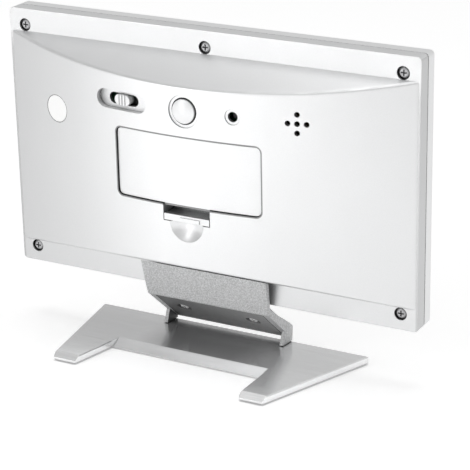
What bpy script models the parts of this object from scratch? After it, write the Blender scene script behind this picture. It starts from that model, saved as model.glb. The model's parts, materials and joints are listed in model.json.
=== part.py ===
"""Slim digital alarm clock: a case with a bulged back, on a neck and a low two-legged base.

Metres, +Z up. The display faces -Y and leans back a little; the origin is on the floor under the middle.
Sizes in the case are given in the case's own frame: X to the right as seen from the front, Y out of the back
from the plane of the rear rim, Z up along the case. Sizes in the stand are given from the top of the base.
"""
import math

import bmesh
import bpy
from mathutils import Matrix, Vector

MM = 0.001

PIECES = "digital_alarm_clock"
TOOLS = "cutters"
CASE = "case_frame"
STAND = "stand_frame"
QUARTER = 90

# Fits
GAP = 0.3 * MM
RUNNING_GAP = 0.2 * MM
PAST = 2.0 * MM
WELD = 0.001 * MM

# Case outline
CASE_WIDTH = 165.0 * MM
CASE_HEIGHT = 99.0 * MM
CASE_CORNER = 1.5 * MM
CASE_EDGE = 0.5 * MM
REAR_DEPTH = 5.5 * MM
SEAM = 0.4 * MM
FRONT_DEPTH = 4.8 * MM
LEAN = math.radians(4.57)
STAND_HEIGHT = 18.8 * MM
RIM_ABOVE_BASE = CASE_HEIGHT / 2 + STAND_HEIGHT

# Curved back
BULGE_DEPTH = 16.0 * MM
BULGE_STRIP = 0.2 * MM
BULGE_HALF = CASE_WIDTH / 2 - BULGE_STRIP
BULGE_RADIUS = (BULGE_HALF ** 2 + BULGE_DEPTH ** 2) / (2 * BULGE_DEPTH)
BULGE_STEPS = 36
FLAT_STRIP = 8.4 * MM
TOP_FACET_HEIGHT = CASE_HEIGHT / 2 - FLAT_STRIP
TOP_FACET_SLOPE = 0.503
BOTTOM_FACET_HEIGHT = FLAT_STRIP - CASE_HEIGHT / 2
BOTTOM_FACET_SLOPE = 0.464
FACET_EDGE = 0.9 * MM
SIDE_WALL = 1.8 * MM
BACK_WALL = 1.6 * MM

# Front frame
FRONT_WALL = 2.4 * MM
FRAME_WALL = 3.0 * MM
LIP_RISE = 1.1 * MM
POST_RADIUS = 2.8 * MM

# Case screws
SCREW_SEGMENTS = 12
SHANK_RADIUS = 0.95 * MM
CLEAR_RADIUS = 1.25 * MM
PILOT_RADIUS = 1.15 * MM
HEAD_RADIUS = 1.9 * MM
HEAD_HEIGHT = 1.1 * MM
SMALL_HEAD_RADIUS = 1.5 * MM
SMALL_HEAD_HEIGHT = 1.0 * MM
CROSS_WIDTH = 0.5 * MM
CROSS_DEPTH = 0.6 * MM
WELL_RADIUS = 2.4 * MM
WELL_DEPTH = 1.8 * MM
BOSS_RADIUS = 3.0 * MM
CASE_SCREW_SIDE_INSET = 6.6 * MM
CASE_SCREW_TOP_INSET = 6.1 * MM
CASE_SCREW_X = CASE_WIDTH / 2 - CASE_SCREW_SIDE_INSET
CASE_SCREW_Z = CASE_HEIGHT / 2 - CASE_SCREW_TOP_INSET
CASE_SCREW_LENGTH = 6.4 * MM

# Display stack, from the front
WINDOW_BORDER = 6.5 * MM
WINDOW_CHIN = 18.5 * MM
WINDOW_WIDTH = CASE_WIDTH - 2 * WINDOW_BORDER
WINDOW_HEIGHT = CASE_HEIGHT - WINDOW_BORDER - WINDOW_CHIN
WINDOW_Z = (WINDOW_CHIN - WINDOW_BORDER) / 2
WINDOW_THICKNESS = 1.1 * MM
WINDOW_LEDGE = 5.0 * MM
OPENING_WIDTH = WINDOW_WIDTH - 2 * WINDOW_LEDGE
OPENING_HEIGHT = WINDOW_HEIGHT - 2 * WINDOW_LEDGE
PANEL_LAP = 2.0 * MM
PANEL_WIDTH = OPENING_WIDTH + 2 * PANEL_LAP
PANEL_HEIGHT = OPENING_HEIGHT + 2 * PANEL_LAP
PANEL_GLASS = 1.1 * MM
PANEL_BACK_GLASS = 1.3 * MM
PANEL_LEDGE = 3.5 * MM
GUIDE_THICKNESS = 1.5 * MM
GUIDE_INSET = 5.0 * MM
STRIP_WIDTH = 2.2 * MM
DIODE_SIZE = 2.0 * MM

# Main board
BOARD_THICKNESS = 1.2 * MM
BOARD_FRONT = -3.5 * MM
BOARD_SIDE_ROOM = 12.5 * MM
BOARD_TOP_ROOM = 15.5 * MM
BOARD_BOTTOM_ROOM = 6.2 * MM
BOARD_WIDTH = CASE_WIDTH - 2 * BOARD_SIDE_ROOM
BOARD_TOP = CASE_HEIGHT / 2 - BOARD_TOP_ROOM
BOARD_BOTTOM = BOARD_BOTTOM_ROOM - CASE_HEIGHT / 2
EAR_INSET = 6.9 * MM
EAR_DROP = 4.0 * MM
EAR_X = CASE_WIDTH / 2 - EAR_INSET
EAR_Z = BOARD_TOP - EAR_DROP
EAR_RADIUS = 2.9 * MM
EAR_SPREAD = 5.0 * MM
BOARD_SCREW_RISE = 9.8 * MM
BOARD_SCREW_Z = BOARD_BOTTOM + BOARD_SCREW_RISE
BOARD_POST_RADIUS = 2.0 * MM
BOARD_SCREW_LENGTH = 4.6 * MM
CHIP_X = -47.0 * MM
CHIP_Z = -20.0 * MM
CHIP_RADIUS = 6.0 * MM
CHIP_HEIGHT = 1.6 * MM
CRYSTAL_RADIUS = 1.0 * MM
CRYSTAL_LENGTH = 6.0 * MM
CRYSTAL_Z = -4.0 * MM

# Set keys on the front
KEY_NAMES = ("mode", "down", "up", "alarm")
KEY_PITCH = 24.0 * MM
KEY_ROW_RISE = 9.5 * MM
KEY_Z = KEY_ROW_RISE - CASE_HEIGHT / 2
KEY_WIDTH = 15.8 * MM
KEY_HEIGHT = 5.8 * MM
KEY_CORNER = 1.2 * MM
KEY_PROUD = 0.6 * MM
KEY_RIM = 1.1 * MM
KEY_RIM_THICKNESS = 0.8 * MM
KEY_STEM_RADIUS = 1.2 * MM
KEY_TRAVEL = 0.5 * MM
KEY_SWITCH_WIDTH = 4.5 * MM
KEY_SWITCH_HEIGHT = 3.5 * MM
KEY_SWITCH_DEPTH = 1.8 * MM

# Row of controls on the back
ROW_DROP = 25.0 * MM
ROW_Z = CASE_HEIGHT / 2 - ROW_DROP
CONTROL_BOARD_SINK = 11.2 * MM
CONTROL_BOARD_FRONT = BULGE_DEPTH - CONTROL_BOARD_SINK
CONTROL_BOARD_LEFT = -25.0 * MM
CONTROL_BOARD_RIGHT = 36.0 * MM
CONTROL_BOARD_HEIGHT = 15.0 * MM
CONTROL_BOSS_X = 10.5 * MM
CONTROL_BOSS_RADIUS = 2.3 * MM
CONTROL_SCREW_LENGTH = 6.5 * MM

# Slide switch
SLIDE_X = 26.5 * MM
SLIDE_RECESS_LENGTH = 21.8 * MM
SLIDE_RECESS_HEIGHT = 7.0 * MM
SLIDE_RECESS_DEPTH = 2.25 * MM
SLIDE_FLOOR = 1.4 * MM
SLIDE_SLOT_LENGTH = 13.0 * MM
SLIDE_SLOT_HEIGHT = 4.2 * MM
KNOB_LENGTH = 6.6 * MM
KNOB_HEIGHT = 3.9 * MM
KNOB_CORNER = 1.8 * MM
KNOB_SINK = 0.95 * MM
KNOB_RIBS = 3
KNOB_RIB_PITCH = 1.3 * MM
KNOB_RIB_GROOVE = 0.5 * MM
KNOB_RIB_DEPTH = 0.4 * MM
KNOB_FLANGE_LENGTH = 9.8 * MM
KNOB_FLANGE_HEIGHT = 5.6 * MM
KNOB_FLANGE_SINK = 7.5 * MM
KNOB_FLANGE_FRONT = BULGE_DEPTH - KNOB_FLANGE_SINK
KNOB_FLANGE_THICKNESS = 0.8 * MM
SLIDE_TRAVEL = 2.0 * MM
SLIDE_BODY_LENGTH = 8.6 * MM
SLIDE_BODY_HEIGHT = 3.6 * MM
SLIDE_BODY_DEPTH = 1.8 * MM
LEVER_SIZE = 1.5 * MM
LEVER_SINK = 0.7 * MM
LEVER_LENGTH = 2.5 * MM

# Snooze and light button
SNOOZE_RING_RADIUS = 6.05 * MM
SNOOZE_RING_DEPTH = 0.5 * MM
SNOOZE_HOLE_RADIUS = 4.95 * MM
SNOOZE_RADIUS = 4.4 * MM
SNOOZE_PROUD = 1.1 * MM
SNOOZE_DOME = 0.9 * MM
SNOOZE_FLANGE_RADIUS = 5.7 * MM
SNOOZE_FLANGE_SINK = 2.1 * MM
SNOOZE_FLANGE_BACK = BULGE_DEPTH - SNOOZE_FLANGE_SINK
SNOOZE_FLANGE_THICKNESS = 0.8 * MM
SNOOZE_STEM_RADIUS = 1.6 * MM
SNOOZE_TRAVEL = 0.6 * MM
SNOOZE_SWITCH_SIZE = 6.0 * MM
SNOOZE_SWITCH_DEPTH = 3.2 * MM
PLUNGER_RADIUS = 1.6 * MM
PLUNGER_RISE = 1.4 * MM
PLUNGER_SINK = 1.1 * MM

# Reset
RESET_X = -18.95 * MM
RESET_LIFT = 0.2 * MM
RESET_Z = ROW_Z + RESET_LIFT
RESET_HOLE_RADIUS = 1.85 * MM
RESET_RING_RADIUS = 2.9 * MM
RESET_RING_DEPTH = 0.4 * MM
RESET_SWITCH_SIZE = 4.5 * MM
RESET_SWITCH_DEPTH = 2.8 * MM
RESET_RADIUS = 1.2 * MM
RESET_RISE = 3.5 * MM
RESET_SINK = 0.9 * MM
RESET_TRAVEL = 0.5 * MM

# Buzzer behind the sound holes
SOUND_X = -42.2 * MM
SOUND_Z = ROW_Z
SOUND_PITCH = 3.3 * MM
SOUND_HOLE_RADIUS = 1.0 * MM
BUZZER_RADIUS = 10.0 * MM
BUZZER_THICKNESS = 0.8 * MM
BUZZER_SEAT_SINK = 8.6 * MM
BUZZER_SEAT_Y = BULGE_DEPTH - BUZZER_SEAT_SINK
BUZZER_SEAT_RADIUS = 9.4 * MM
BUZZER_RING_WALL = 1.1 * MM
BUZZER_RING_DEPTH = 1.5 * MM

# Sticker, left blank
STICKER_INSET = 24.5 * MM
STICKER_DROP = 8.6 * MM
STICKER_X = CASE_WIDTH / 2 - STICKER_INSET
STICKER_Z = ROW_Z - STICKER_DROP
STICKER_RADIUS = 5.0 * MM
STICKER_THICKNESS = 0.3 * MM
STICKER_SINK = 0.05 * MM

# Cells, and the bay that takes them end to end with their contacts
CELL_RADIUS = 5.15 * MM
CELL_LENGTH = 44.5 * MM
CELL_ROOM = 0.9 * MM
CELL_PITCH = 2 * CELL_RADIUS + CELL_ROOM
CELL_NUB_RADIUS = 1.9 * MM
CELL_NUB_HEIGHT = 1.0 * MM
CELL_EDGE = 0.5 * MM
CONTACT_THICKNESS = 0.4 * MM
DIMPLE_RADIUS = 2.2 * MM
DIMPLE_RISE = 1.2 * MM
NUB_ROOM = DIMPLE_RISE + GAP
SPRING_ROOM = 8.2 * MM
BAY_WIDTH = CELL_LENGTH + SPRING_ROOM + NUB_ROOM + 2 * (CONTACT_THICKNESS + GAP)
BAY_MARGIN = 1.0 * MM
BAY_DROP = 22.2 * MM
BAY_MIDDLE = ROW_Z - BAY_DROP
BAY_TOP = BAY_MIDDLE + CELL_PITCH / 2 + CELL_RADIUS + BAY_MARGIN / 2
BAY_BOTTOM = BAY_MIDDLE - CELL_PITCH / 2 - CELL_RADIUS - BAY_MARGIN / 2
BAY_FLOOR = 0.6 * MM
CELL_Y = BAY_FLOOR + CELL_RADIUS + GAP
BAY_FLOOR_WALL = 1.2 * MM
BAY_WALL = 2.8 * MM
BAY_RIB_HEIGHT = 1.6 * MM
BAY_RIB_WIDTH = 1.6 * MM
BAY_RIB_LENGTH = 40.0 * MM

# Battery door, lapping over the bay's edges
DOOR_SIDE_LAP = 1.35 * MM
DOOR_TOP_LAP = 1.25 * MM
DOOR_BOTTOM_LAP = 1.85 * MM
DOOR_WIDTH = BAY_WIDTH + 2 * DOOR_SIDE_LAP
DOOR_TOP = BAY_TOP + DOOR_TOP_LAP
DOOR_BOTTOM = BAY_BOTTOM - DOOR_BOTTOM_LAP
DOOR_HEIGHT = DOOR_TOP - DOOR_BOTTOM
DOOR_Z = (DOOR_TOP + DOOR_BOTTOM) / 2
DOOR_CORNER = 2.1 * MM
DOOR_GAP = 0.3 * MM
DOOR_SINK = 0.6 * MM
DOOR_THICKNESS = 1.6 * MM

# Door hooks and latch
HOOK_X = 14.0 * MM
HOOK_WIDTH = 6.0 * MM
HOOK_REACH = 1.3 * MM
HOOK_THICKNESS = 1.1 * MM
HOOK_SINK = 2.55 * MM
HOOK_BACK = BULGE_DEPTH - HOOK_SINK
HOOK_ROOT = 3.0 * MM
HOOK_POCKET_DEPTH = 2.3 * MM
LATCH_WIDTH = 19.0 * MM
LATCH_DROP = 6.2 * MM
LATCH_POCKET_RISE = 0.7 * MM
LATCH_POCKET_SINK = 10.5 * MM
LATCH_BOTTOM = DOOR_BOTTOM - LATCH_DROP
LATCH_POCKET_TOP = DOOR_BOTTOM + LATCH_POCKET_RISE
LATCH_POCKET_FRONT = BULGE_DEPTH - LATCH_POCKET_SINK
LATCH_POCKET_WALL = 1.4 * MM
TONGUE_THICKNESS = 0.9 * MM
TONGUE_TOP = LATCH_POCKET_TOP - GAP
TONGUE_BEND_SINK = 6.4 * MM
TONGUE_BEND_Y = BULGE_DEPTH - TONGUE_BEND_SINK
TONGUE_SPREAD = 4.2 * MM
TONGUE_ROOT = 0.5 * MM
TONGUE_STEPS = 8
LATCH_BAR_HEIGHT = 2.4 * MM
LATCH_BAR_DEPTH = 2.4 * MM
LATCH_PAD_LEFT = -5.3 * MM
LATCH_PAD_RIGHT = 2.6 * MM
LATCH_PAD_RISE = 0.4 * MM
LATCH_PAD_HEIGHT = 1.4 * MM
SCOOP_RADIUS = 7.1 * MM
SCOOP_DEPTH = 2.6 * MM
SCOOP_WALL = 1.4 * MM
SCOOP_PAD = 2.4 * MM

# Contact plates and springs
CONTACT_FRONT = 1.5 * MM
CONTACT_HEIGHT = 9.0 * MM
CONTACT_GROOVE = 0.7 * MM
CONTACT_SPLIT = 1.2 * MM
TAB_WIDTH = 2.0 * MM
SPRING_TURNS = 4.5
SPRING_STEPS = 9
SPRING_WIRE_RADIUS = 0.3 * MM
SPRING_LENGTH = SPRING_ROOM - 2 * GAP
SPRING_WIDE_RADIUS = 3.4 * MM
SPRING_NARROW_RADIUS = 2.2 * MM

# Ribbon between the boards
RIBBON_X = -18.0 * MM
RIBBON_WIDTH = 8.0 * MM
RIBBON_THICKNESS = 0.4 * MM
RIBBON_END_RISE = 1.5 * MM
RIBBON_TURN_RISE = 6.0 * MM
RIBBON_END_Z = ROW_Z + RIBBON_END_RISE
RIBBON_TURN_Z = ROW_Z + RIBBON_TURN_RISE
RIBBON_STEPS = 10

# Neck
NECK_HALF_TOP = 25.9 * MM
NECK_HALF = 25.3 * MM
NECK_CURVE_STEPS = 6
NECK_TOP_BACK = 5.9 * MM
NECK_EDGE_BACK = 2.8 * MM
NECK_EDGE_DROP = 3.2 * MM
NECK_EDGE_UP = -CASE_HEIGHT / 2 - NECK_EDGE_DROP
NECK_FRONT = -21.25 * MM
NECK_KNEE = 6.0 * MM
NECK_SLIT = 1.4 * MM
NECK_FLAT = 0.65 * MM
CHEEK_BACK = -13.6 * MM
CHEEK_TOP_BACK = -15.2 * MM
CHEEK_THICKNESS = 1.4 * MM
NECK_NOTCH_WIDTH = 2.3 * MM
NECK_NOTCH_TOP = 4.0 * MM
NECK_NOTCH_BOTTOM = 1.9 * MM
NECK_NOTCH_DROP = 1.2 * MM
NECK_NOTCH_STEP = 0.4 * MM
NECK_PLATE_HALF = 22.4 * MM
NECK_PLATE_THICKNESS = 2.0 * MM
NECK_PLATE_FRONT_INSET = 1.2 * MM
NECK_PLATE_BACK_INSET = 1.5 * MM
NECK_SCREW_X = 14.6 * MM
NECK_SCREW_ALONG = 13.0 * MM
NECK_WELL_RADIUS = 3.0 * MM
NECK_WELL_DEPTH = 1.3 * MM
NECK_HEAD_HEIGHT = 0.8 * MM
NECK_SCREW_LENGTH = 2.5 * MM
NECK_PILOT_DEPTH = 1.4 * MM
TONGUE_SCREW_X = 15.0 * MM
TONGUE_SCREW_RISE = 3.7 * MM
TONGUE_SCREW_Z = TONGUE_SCREW_RISE - CASE_HEIGHT / 2
TONGUE_SCREW_LENGTH = 4.4 * MM
TONGUE_PILOT_DEPTH = 2.6 * MM
FOOT_TAB_FRONT = -19.5 * MM
FOOT_TAB_BACK = -14.5 * MM
FOOT_TAB_THICKNESS = 1.0 * MM
FOOT_TAB_DROP = 1.1 * MM

# Base
BASE_THICKNESS = 2.85 * MM
BASE_FRONT = -21.25 * MM
BASE_BACK = 35.5 * MM
BASE_FRONT_HALF = 56.8 * MM
BASE_TAPER = 14.0 * MM
BASE_TIP_HALF = BASE_FRONT_HALF - BASE_TAPER
BASE_EDGE = 0.6 * MM
NOTCH_Y = 9.2 * MM
NOTCH_FLOOR_Y = 13.5 * MM
LEG_WIDTH = 11.5 * MM
TIP_WIDTH = 9.3 * MM
NOTCH_HALF = BASE_TIP_HALF - LEG_WIDTH
TIP_INNER_HALF = BASE_TIP_HALF - TIP_WIDTH
TIP_BEVEL_LENGTH = 2.6 * MM
TIP_BEVEL_DROP = 1.7 * MM
WEIGHT_FRONT_INSET = 3.75 * MM
WEIGHT_BACK_INSET = 2.7 * MM
WEIGHT_SIDE_INSET = 13.8 * MM
WEIGHT_TAPER = 4.0 * MM
WEIGHT_FRONT = BASE_FRONT + WEIGHT_FRONT_INSET
WEIGHT_BACK = NOTCH_Y - WEIGHT_BACK_INSET
WEIGHT_FRONT_HALF = BASE_FRONT_HALF - WEIGHT_SIDE_INSET
WEIGHT_BACK_HALF = WEIGHT_FRONT_HALF - WEIGHT_TAPER
WEIGHT_THICKNESS = 1.0 * MM
WEIGHT_SINK = 0.1 * MM
FOOT_RADIUS = 4.0 * MM
FOOT_THICKNESS = 0.9 * MM
FOOT_PROUD = 0.3 * MM
FOOT_FRONT_SIDE_INSET = 7.3 * MM
FOOT_FRONT_INSET = 6.25 * MM
FOOT_BACK_SIDE_INSET = 4.6 * MM
FOOT_BACK_INSET = 8.5 * MM
FOOT_FRONT_X = BASE_FRONT_HALF - FOOT_FRONT_SIDE_INSET
FOOT_FRONT_Y = BASE_FRONT + FOOT_FRONT_INSET
FOOT_BACK_X = BASE_TIP_HALF - FOOT_BACK_SIDE_INSET
FOOT_BACK_Y = BASE_BACK - FOOT_BACK_INSET

# Lines that follow from the sizes above
SEAM_REAR = -REAR_DEPTH
SEAM_FRONT = -REAR_DEPTH - SEAM
LIP_TOP = SEAM_FRONT + LIP_RISE
FRONT = SEAM_FRONT - FRONT_DEPTH
FRONT_INSIDE = FRONT + FRONT_WALL
WINDOW_SEAT = FRONT + WINDOW_THICKNESS + GAP
PANEL_FRONT = FRONT_INSIDE + GAP
PANEL_STEP = PANEL_FRONT + PANEL_GLASS
PANEL_BACK = PANEL_STEP + PANEL_BACK_GLASS
PANEL_TOP = WINDOW_Z + PANEL_HEIGHT / 2
PANEL_BOTTOM = WINDOW_Z - PANEL_HEIGHT / 2
GUIDE_RIGHT = PANEL_WIDTH / 2 - GUIDE_INSET
BOARD_BACK = BOARD_FRONT + BOARD_THICKNESS
CONTROL_BOARD_BACK = CONTROL_BOARD_FRONT + BOARD_THICKNESS
CELL_TOP_Z = BAY_MIDDLE + CELL_PITCH / 2
CELL_BOTTOM_Z = BAY_MIDDLE - CELL_PITCH / 2
CELL_SHIFT = (SPRING_ROOM - NUB_ROOM) / 2
BASE_TOP = FOOT_PROUD + BASE_THICKNESS
CASE_Y = -(BASE_FRONT + BASE_BACK) / 2

TURNS = {
    "X": Matrix.Rotation(math.pi / 2, 4, "Y"),
    "Y": Matrix.Rotation(-math.pi / 2, 4, "X"),
    "Z": Matrix.Identity(4),
}
PLANES = {
    "XY": Matrix.Identity(4),
    "XZ": Matrix.Rotation(math.pi / 2, 4, "X"),
    "YZ": Matrix.Rotation(math.pi / 2, 4, "Z") @ Matrix.Rotation(math.pi / 2, 4, "X"),
}
ACROSS = {"XY": Vector((0, 0, 1)), "XZ": Vector((0, 1, 0)), "YZ": Vector((1, 0, 0))}


# Scene and objects
def clear_scene():
    for old in list(bpy.data.objects):
        bpy.data.objects.remove(old)


def new_collection(name, hidden):
    made = bpy.data.collections.new(name)
    bpy.context.scene.collection.children.link(made)
    made.hide_render = hidden
    return made


def new_frame(name, location, lean):
    """Empty that carries the pieces of one frame."""
    made = bpy.data.objects.new(name, None)
    made.location = location
    made.rotation_euler = (-lean, 0, 0)
    bpy.data.collections[PIECES].objects.link(made)
    return made


def piece(name, mesh, frame, material):
    """One piece of the clock, in the frame it is given."""
    made = bpy.data.objects.new(name, mesh)
    made.parent = bpy.data.objects[frame]
    bpy.data.collections[PIECES].objects.link(made)
    mesh.materials.clear()
    mesh.materials.append(material)
    return made


def tool(name, mesh, frame):
    """Hidden solid that another one is cut, joined or trimmed with."""
    made = bpy.data.objects.new(name, mesh)
    made.parent = bpy.data.objects[frame]
    made.hide_render = True
    made.display_type = "WIRE"
    bpy.data.collections[TOOLS].objects.link(made)
    return made


def change(target, other, operation):
    step = target.modifiers.new(other.name, "BOOLEAN")
    step.operation = operation
    step.solver = "EXACT"
    step.object = other


def cut(target, *others):
    for other in others:
        change(target, other, "DIFFERENCE")


def join(target, *others):
    for other in others:
        change(target, other, "UNION")


def trim(target, *others):
    for other in others:
        change(target, other, "INTERSECT")


def bevel(target, width, segments):
    step = target.modifiers.new("bevel", "BEVEL")
    step.width = width
    step.segments = segments
    step.limit_method = "ANGLE"
    step.angle_limit = math.radians(40)


def move_origin(target, point):
    """Puts the origin of a piece at a point of its frame, leaving its shape where it is."""
    target.data.transform(Matrix.Translation(-Vector(point)))
    target.location = point


# Meshes
def mesh_of(shape, name):
    made = bpy.data.meshes.new(name)
    shape.to_mesh(made)
    shape.free()
    return made


def box(low, high):
    low = Vector(low)
    high = Vector(high)
    size = high - low
    shape = bmesh.new()
    placing = Matrix.Translation((low + high) / 2) @ Matrix.Diagonal((*size, 1))
    bmesh.ops.create_cube(shape, size=1, matrix=placing)
    return mesh_of(shape, "box")


def rod(radius, low, high, axis, centre, segments):
    """Cylinder from low to high along an axis; centre gives its other two coordinates."""
    middle = Vector(centre)
    middle["XYZ".index(axis)] = (low + high) / 2
    shape = bmesh.new()
    bmesh.ops.create_cone(
        shape,
        cap_ends=True,
        segments=segments,
        radius1=radius,
        radius2=radius,
        depth=high - low,
        matrix=Matrix.Translation(middle) @ TURNS[axis],
    )
    return mesh_of(shape, "rod")


def ball(radius, centre):
    shape = bmesh.new()
    bmesh.ops.create_uvsphere(shape, u_segments=32, v_segments=20, radius=radius)
    bmesh.ops.transform(shape, matrix=Matrix.Translation(centre), verts=shape.verts)
    return mesh_of(shape, "ball")


def together(*meshes):
    """Separate solids held in one mesh, for cutting several holes at once."""
    shape = bmesh.new()
    for mesh in meshes:
        shape.from_mesh(mesh)
    return mesh_of(shape, "set")


def mesh_of_curve(curve, placing):
    """Closed mesh of a curve's solid, placed in its frame."""
    source = bpy.data.objects.new("curve", curve)
    bpy.context.scene.collection.objects.link(source)
    graph = bpy.context.evaluated_depsgraph_get()
    raw = bpy.data.meshes.new_from_object(source.evaluated_get(graph))
    shape = bmesh.new()
    shape.from_mesh(raw)
    bmesh.ops.remove_doubles(shape, verts=shape.verts, dist=WELD)
    bmesh.ops.recalc_face_normals(shape, faces=shape.faces)
    bmesh.ops.transform(shape, matrix=placing, verts=shape.verts)
    bpy.data.objects.remove(source)
    bpy.data.meshes.remove(raw)
    return mesh_of(shape, "solid")


def plate(points, low, high, plane):
    """Flat outline in a plane, given thickness from low to high across it."""
    curve = bpy.data.curves.new("outline", "CURVE")
    curve.dimensions = "2D"
    curve.fill_mode = "BOTH"
    curve.extrude = (high - low) / 2
    spline = curve.splines.new("POLY")
    spline.points.add(len(points) - 1)
    for knot, (across, up) in zip(spline.points, points):
        knot.co = (across, up, 0, 1)
    spline.use_cyclic_u = True
    middle = Matrix.Translation(ACROSS[plane] * (low + high) / 2)
    return mesh_of_curve(curve, middle @ PLANES[plane])


def turned(name, profile, frame, material, segments):
    """Piece turned about its own Z from half a section, listed from its top down its outer side."""
    mesh = bpy.data.meshes.new(name)
    verts = [(radius, 0, height) for radius, height in profile]
    edges = [(index, index + 1) for index in range(len(profile) - 1)]
    mesh.from_pydata(verts, edges, [])
    made = piece(name, mesh, frame, material)
    spin = made.modifiers.new("turn", "SCREW")
    spin.steps = segments
    spin.render_steps = segments
    spin.use_smooth_shade = True
    spin.use_merge_vertices = True
    spin.merge_threshold = WELD
    return made


def arc_points(centre, radius, start, end, steps):
    """Points of an arc, from one angle to another in degrees."""
    points = []
    for index in range(steps + 1):
        angle = math.radians(start + (end - start) * index / steps)
        points.append((centre[0] + radius * math.cos(angle), centre[1] + radius * math.sin(angle)))
    return points


def rounded(width, height, corner, centre=(0, 0), steps=3):
    """Outline of a rectangle with rounded corners."""
    points = []
    for index, (across, up) in enumerate(((1, 1), (-1, 1), (-1, -1), (1, -1))):
        middle = (
            centre[0] + across * (width / 2 - corner),
            centre[1] + up * (height / 2 - corner),
        )
        points += arc_points(middle, corner, index * QUARTER, (index + 1) * QUARTER, steps)
    return points


def stadium(length, height, centre):
    """Outline of a slot with round ends."""
    reach = (length - height) / 2
    right = arc_points((centre[0] + reach, centre[1]), height / 2, -QUARTER, QUARTER, 8)
    left = arc_points((centre[0] - reach, centre[1]), height / 2, QUARTER, 3 * QUARTER, 8)
    return right + left


def mirrored(right):
    """Outline made of points on the right and the same points on the left."""
    return right + [(-across, along) for across, along in reversed(right)]


# Materials
def material(name, colour, roughness, metallic):
    made = bpy.data.materials.get(name)
    if made is None:
        made = bpy.data.materials.new(name)
        made.use_nodes = True
        shader = made.node_tree.nodes["Principled BSDF"]
        shader.inputs["Base Color"].default_value = (*colour, 1)
        shader.inputs["Roughness"].default_value = roughness
        shader.inputs["Metallic"].default_value = metallic
    return made


def silver_paint():
    return material("silver_paint", (0.74, 0.75, 0.76), 0.35, 0.3)


def frame_paint():
    return material("frame_paint", (0.80, 0.81, 0.82), 0.3, 0.3)


def neck_paint():
    return material("neck_paint", (0.52, 0.53, 0.54), 0.6, 0.2)


def base_gloss():
    return material("base_gloss", (0.62, 0.63, 0.65), 0.12, 0.6)


def pale_plastic():
    return material("pale_plastic", (0.72, 0.73, 0.74), 0.4, 0.0)


def key_plastic():
    return material("key_plastic", (0.60, 0.61, 0.63), 0.4, 0.1)


def dark_plastic():
    return material("dark_plastic", (0.05, 0.05, 0.055), 0.5, 0.0)


def screw_steel():
    return material("screw_steel", (0.55, 0.55, 0.56), 0.3, 1.0)


def spring_steel():
    return material("spring_steel", (0.70, 0.70, 0.71), 0.25, 1.0)


def contact_nickel():
    return material("contact_nickel", (0.72, 0.71, 0.68), 0.3, 1.0)


def board_green():
    return material("board_green", (0.05, 0.22, 0.10), 0.45, 0.0)


def buzzer_brass():
    return material("buzzer_brass", (0.78, 0.60, 0.28), 0.3, 1.0)


def clear_window():
    return material("clear_window", (0.05, 0.06, 0.07), 0.05, 0.0)


def panel_glass():
    return material("panel_glass", (0.50, 0.56, 0.50), 0.15, 0.0)


def guide_acrylic():
    return material("guide_acrylic", (0.86, 0.90, 0.94), 0.1, 0.0)


def strip_rubber():
    return material("strip_rubber", (0.35, 0.20, 0.22), 0.7, 0.0)


def foot_rubber():
    return material("foot_rubber", (0.04, 0.04, 0.04), 0.8, 0.0)


def weight_steel():
    return material("weight_steel", (0.42, 0.43, 0.44), 0.45, 1.0)


def cell_sleeve():
    return material("cell_sleeve", (0.10, 0.11, 0.13), 0.35, 0.2)


def sticker_paper():
    return material("sticker_paper", (0.86, 0.86, 0.85), 0.5, 0.0)


def ribbon_film():
    return material("ribbon_film", (0.80, 0.80, 0.82), 0.5, 0.0)


def diode_resin():
    return material("diode_resin", (0.92, 0.90, 0.78), 0.3, 0.0)


# Shapes that several pieces share
def bulge(name, inset):
    """The curved back with its two sloping facets, drawn in by an inset on every side."""
    centre = BULGE_DEPTH - BULGE_RADIUS
    radius = BULGE_RADIUS - inset
    low = SEAM_REAR - SEAM
    reach = math.sqrt(BULGE_RADIUS ** 2 - (RUNNING_GAP + BULGE_RADIUS - BULGE_DEPTH) ** 2) - inset
    points = []
    for index in range(BULGE_STEPS + 1):
        across = reach - 2 * reach * index / BULGE_STEPS
        points.append((across, centre + math.sqrt(radius ** 2 - across ** 2)))
    points += [(-reach, low), (reach, low)]
    tall = CASE_HEIGHT / 2
    made = tool(name, plate(points, -tall, tall, "XY"), CASE)
    top = [(y, top_facet(y, inset)) for y in (BULGE_DEPTH + PAST, low - PAST)]
    bottom = [(y, bottom_facet(y, inset)) for y in (low - PAST, BULGE_DEPTH + PAST)]
    side = tool(name + "_side", plate(top + bottom, -CASE_WIDTH / 2, CASE_WIDTH / 2, "YZ"), CASE)
    trim(made, side)
    return made


def top_facet(back, inset):
    """Height of the upper facet at a distance behind the rim."""
    return TOP_FACET_HEIGHT - TOP_FACET_SLOPE * back - inset * math.hypot(1, TOP_FACET_SLOPE)


def bottom_facet(back, inset):
    """Height of the lower facet at a distance behind the rim."""
    return BOTTOM_FACET_HEIGHT + BOTTOM_FACET_SLOPE * back + inset * math.hypot(1, BOTTOM_FACET_SLOPE)


def back_at(across):
    """How far the curved back stands behind the rim at a distance from the middle."""
    return BULGE_DEPTH - BULGE_RADIUS + math.sqrt(BULGE_RADIUS ** 2 - across ** 2)


def down_to(name, mesh, inset):
    """A solid without what lies deeper than an inset below the curved back."""
    made = tool(name, mesh, CASE)
    cut(made, bulge(name + "_depth", inset))
    return made


def under_back(name, mesh):
    """A solid that stays inside the curved back's wall."""
    made = tool(name, mesh, CASE)
    trim(made, bulge(name + "_bound", BACK_WALL / 3))
    return made


def case_point(back, up):
    """A point of the case's side view, in the stand's frame."""
    y = back * math.cos(LEAN) + up * math.sin(LEAN)
    z = RIM_ABOVE_BASE + up * math.cos(LEAN) - back * math.sin(LEAN)
    return Vector((y, z))


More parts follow.
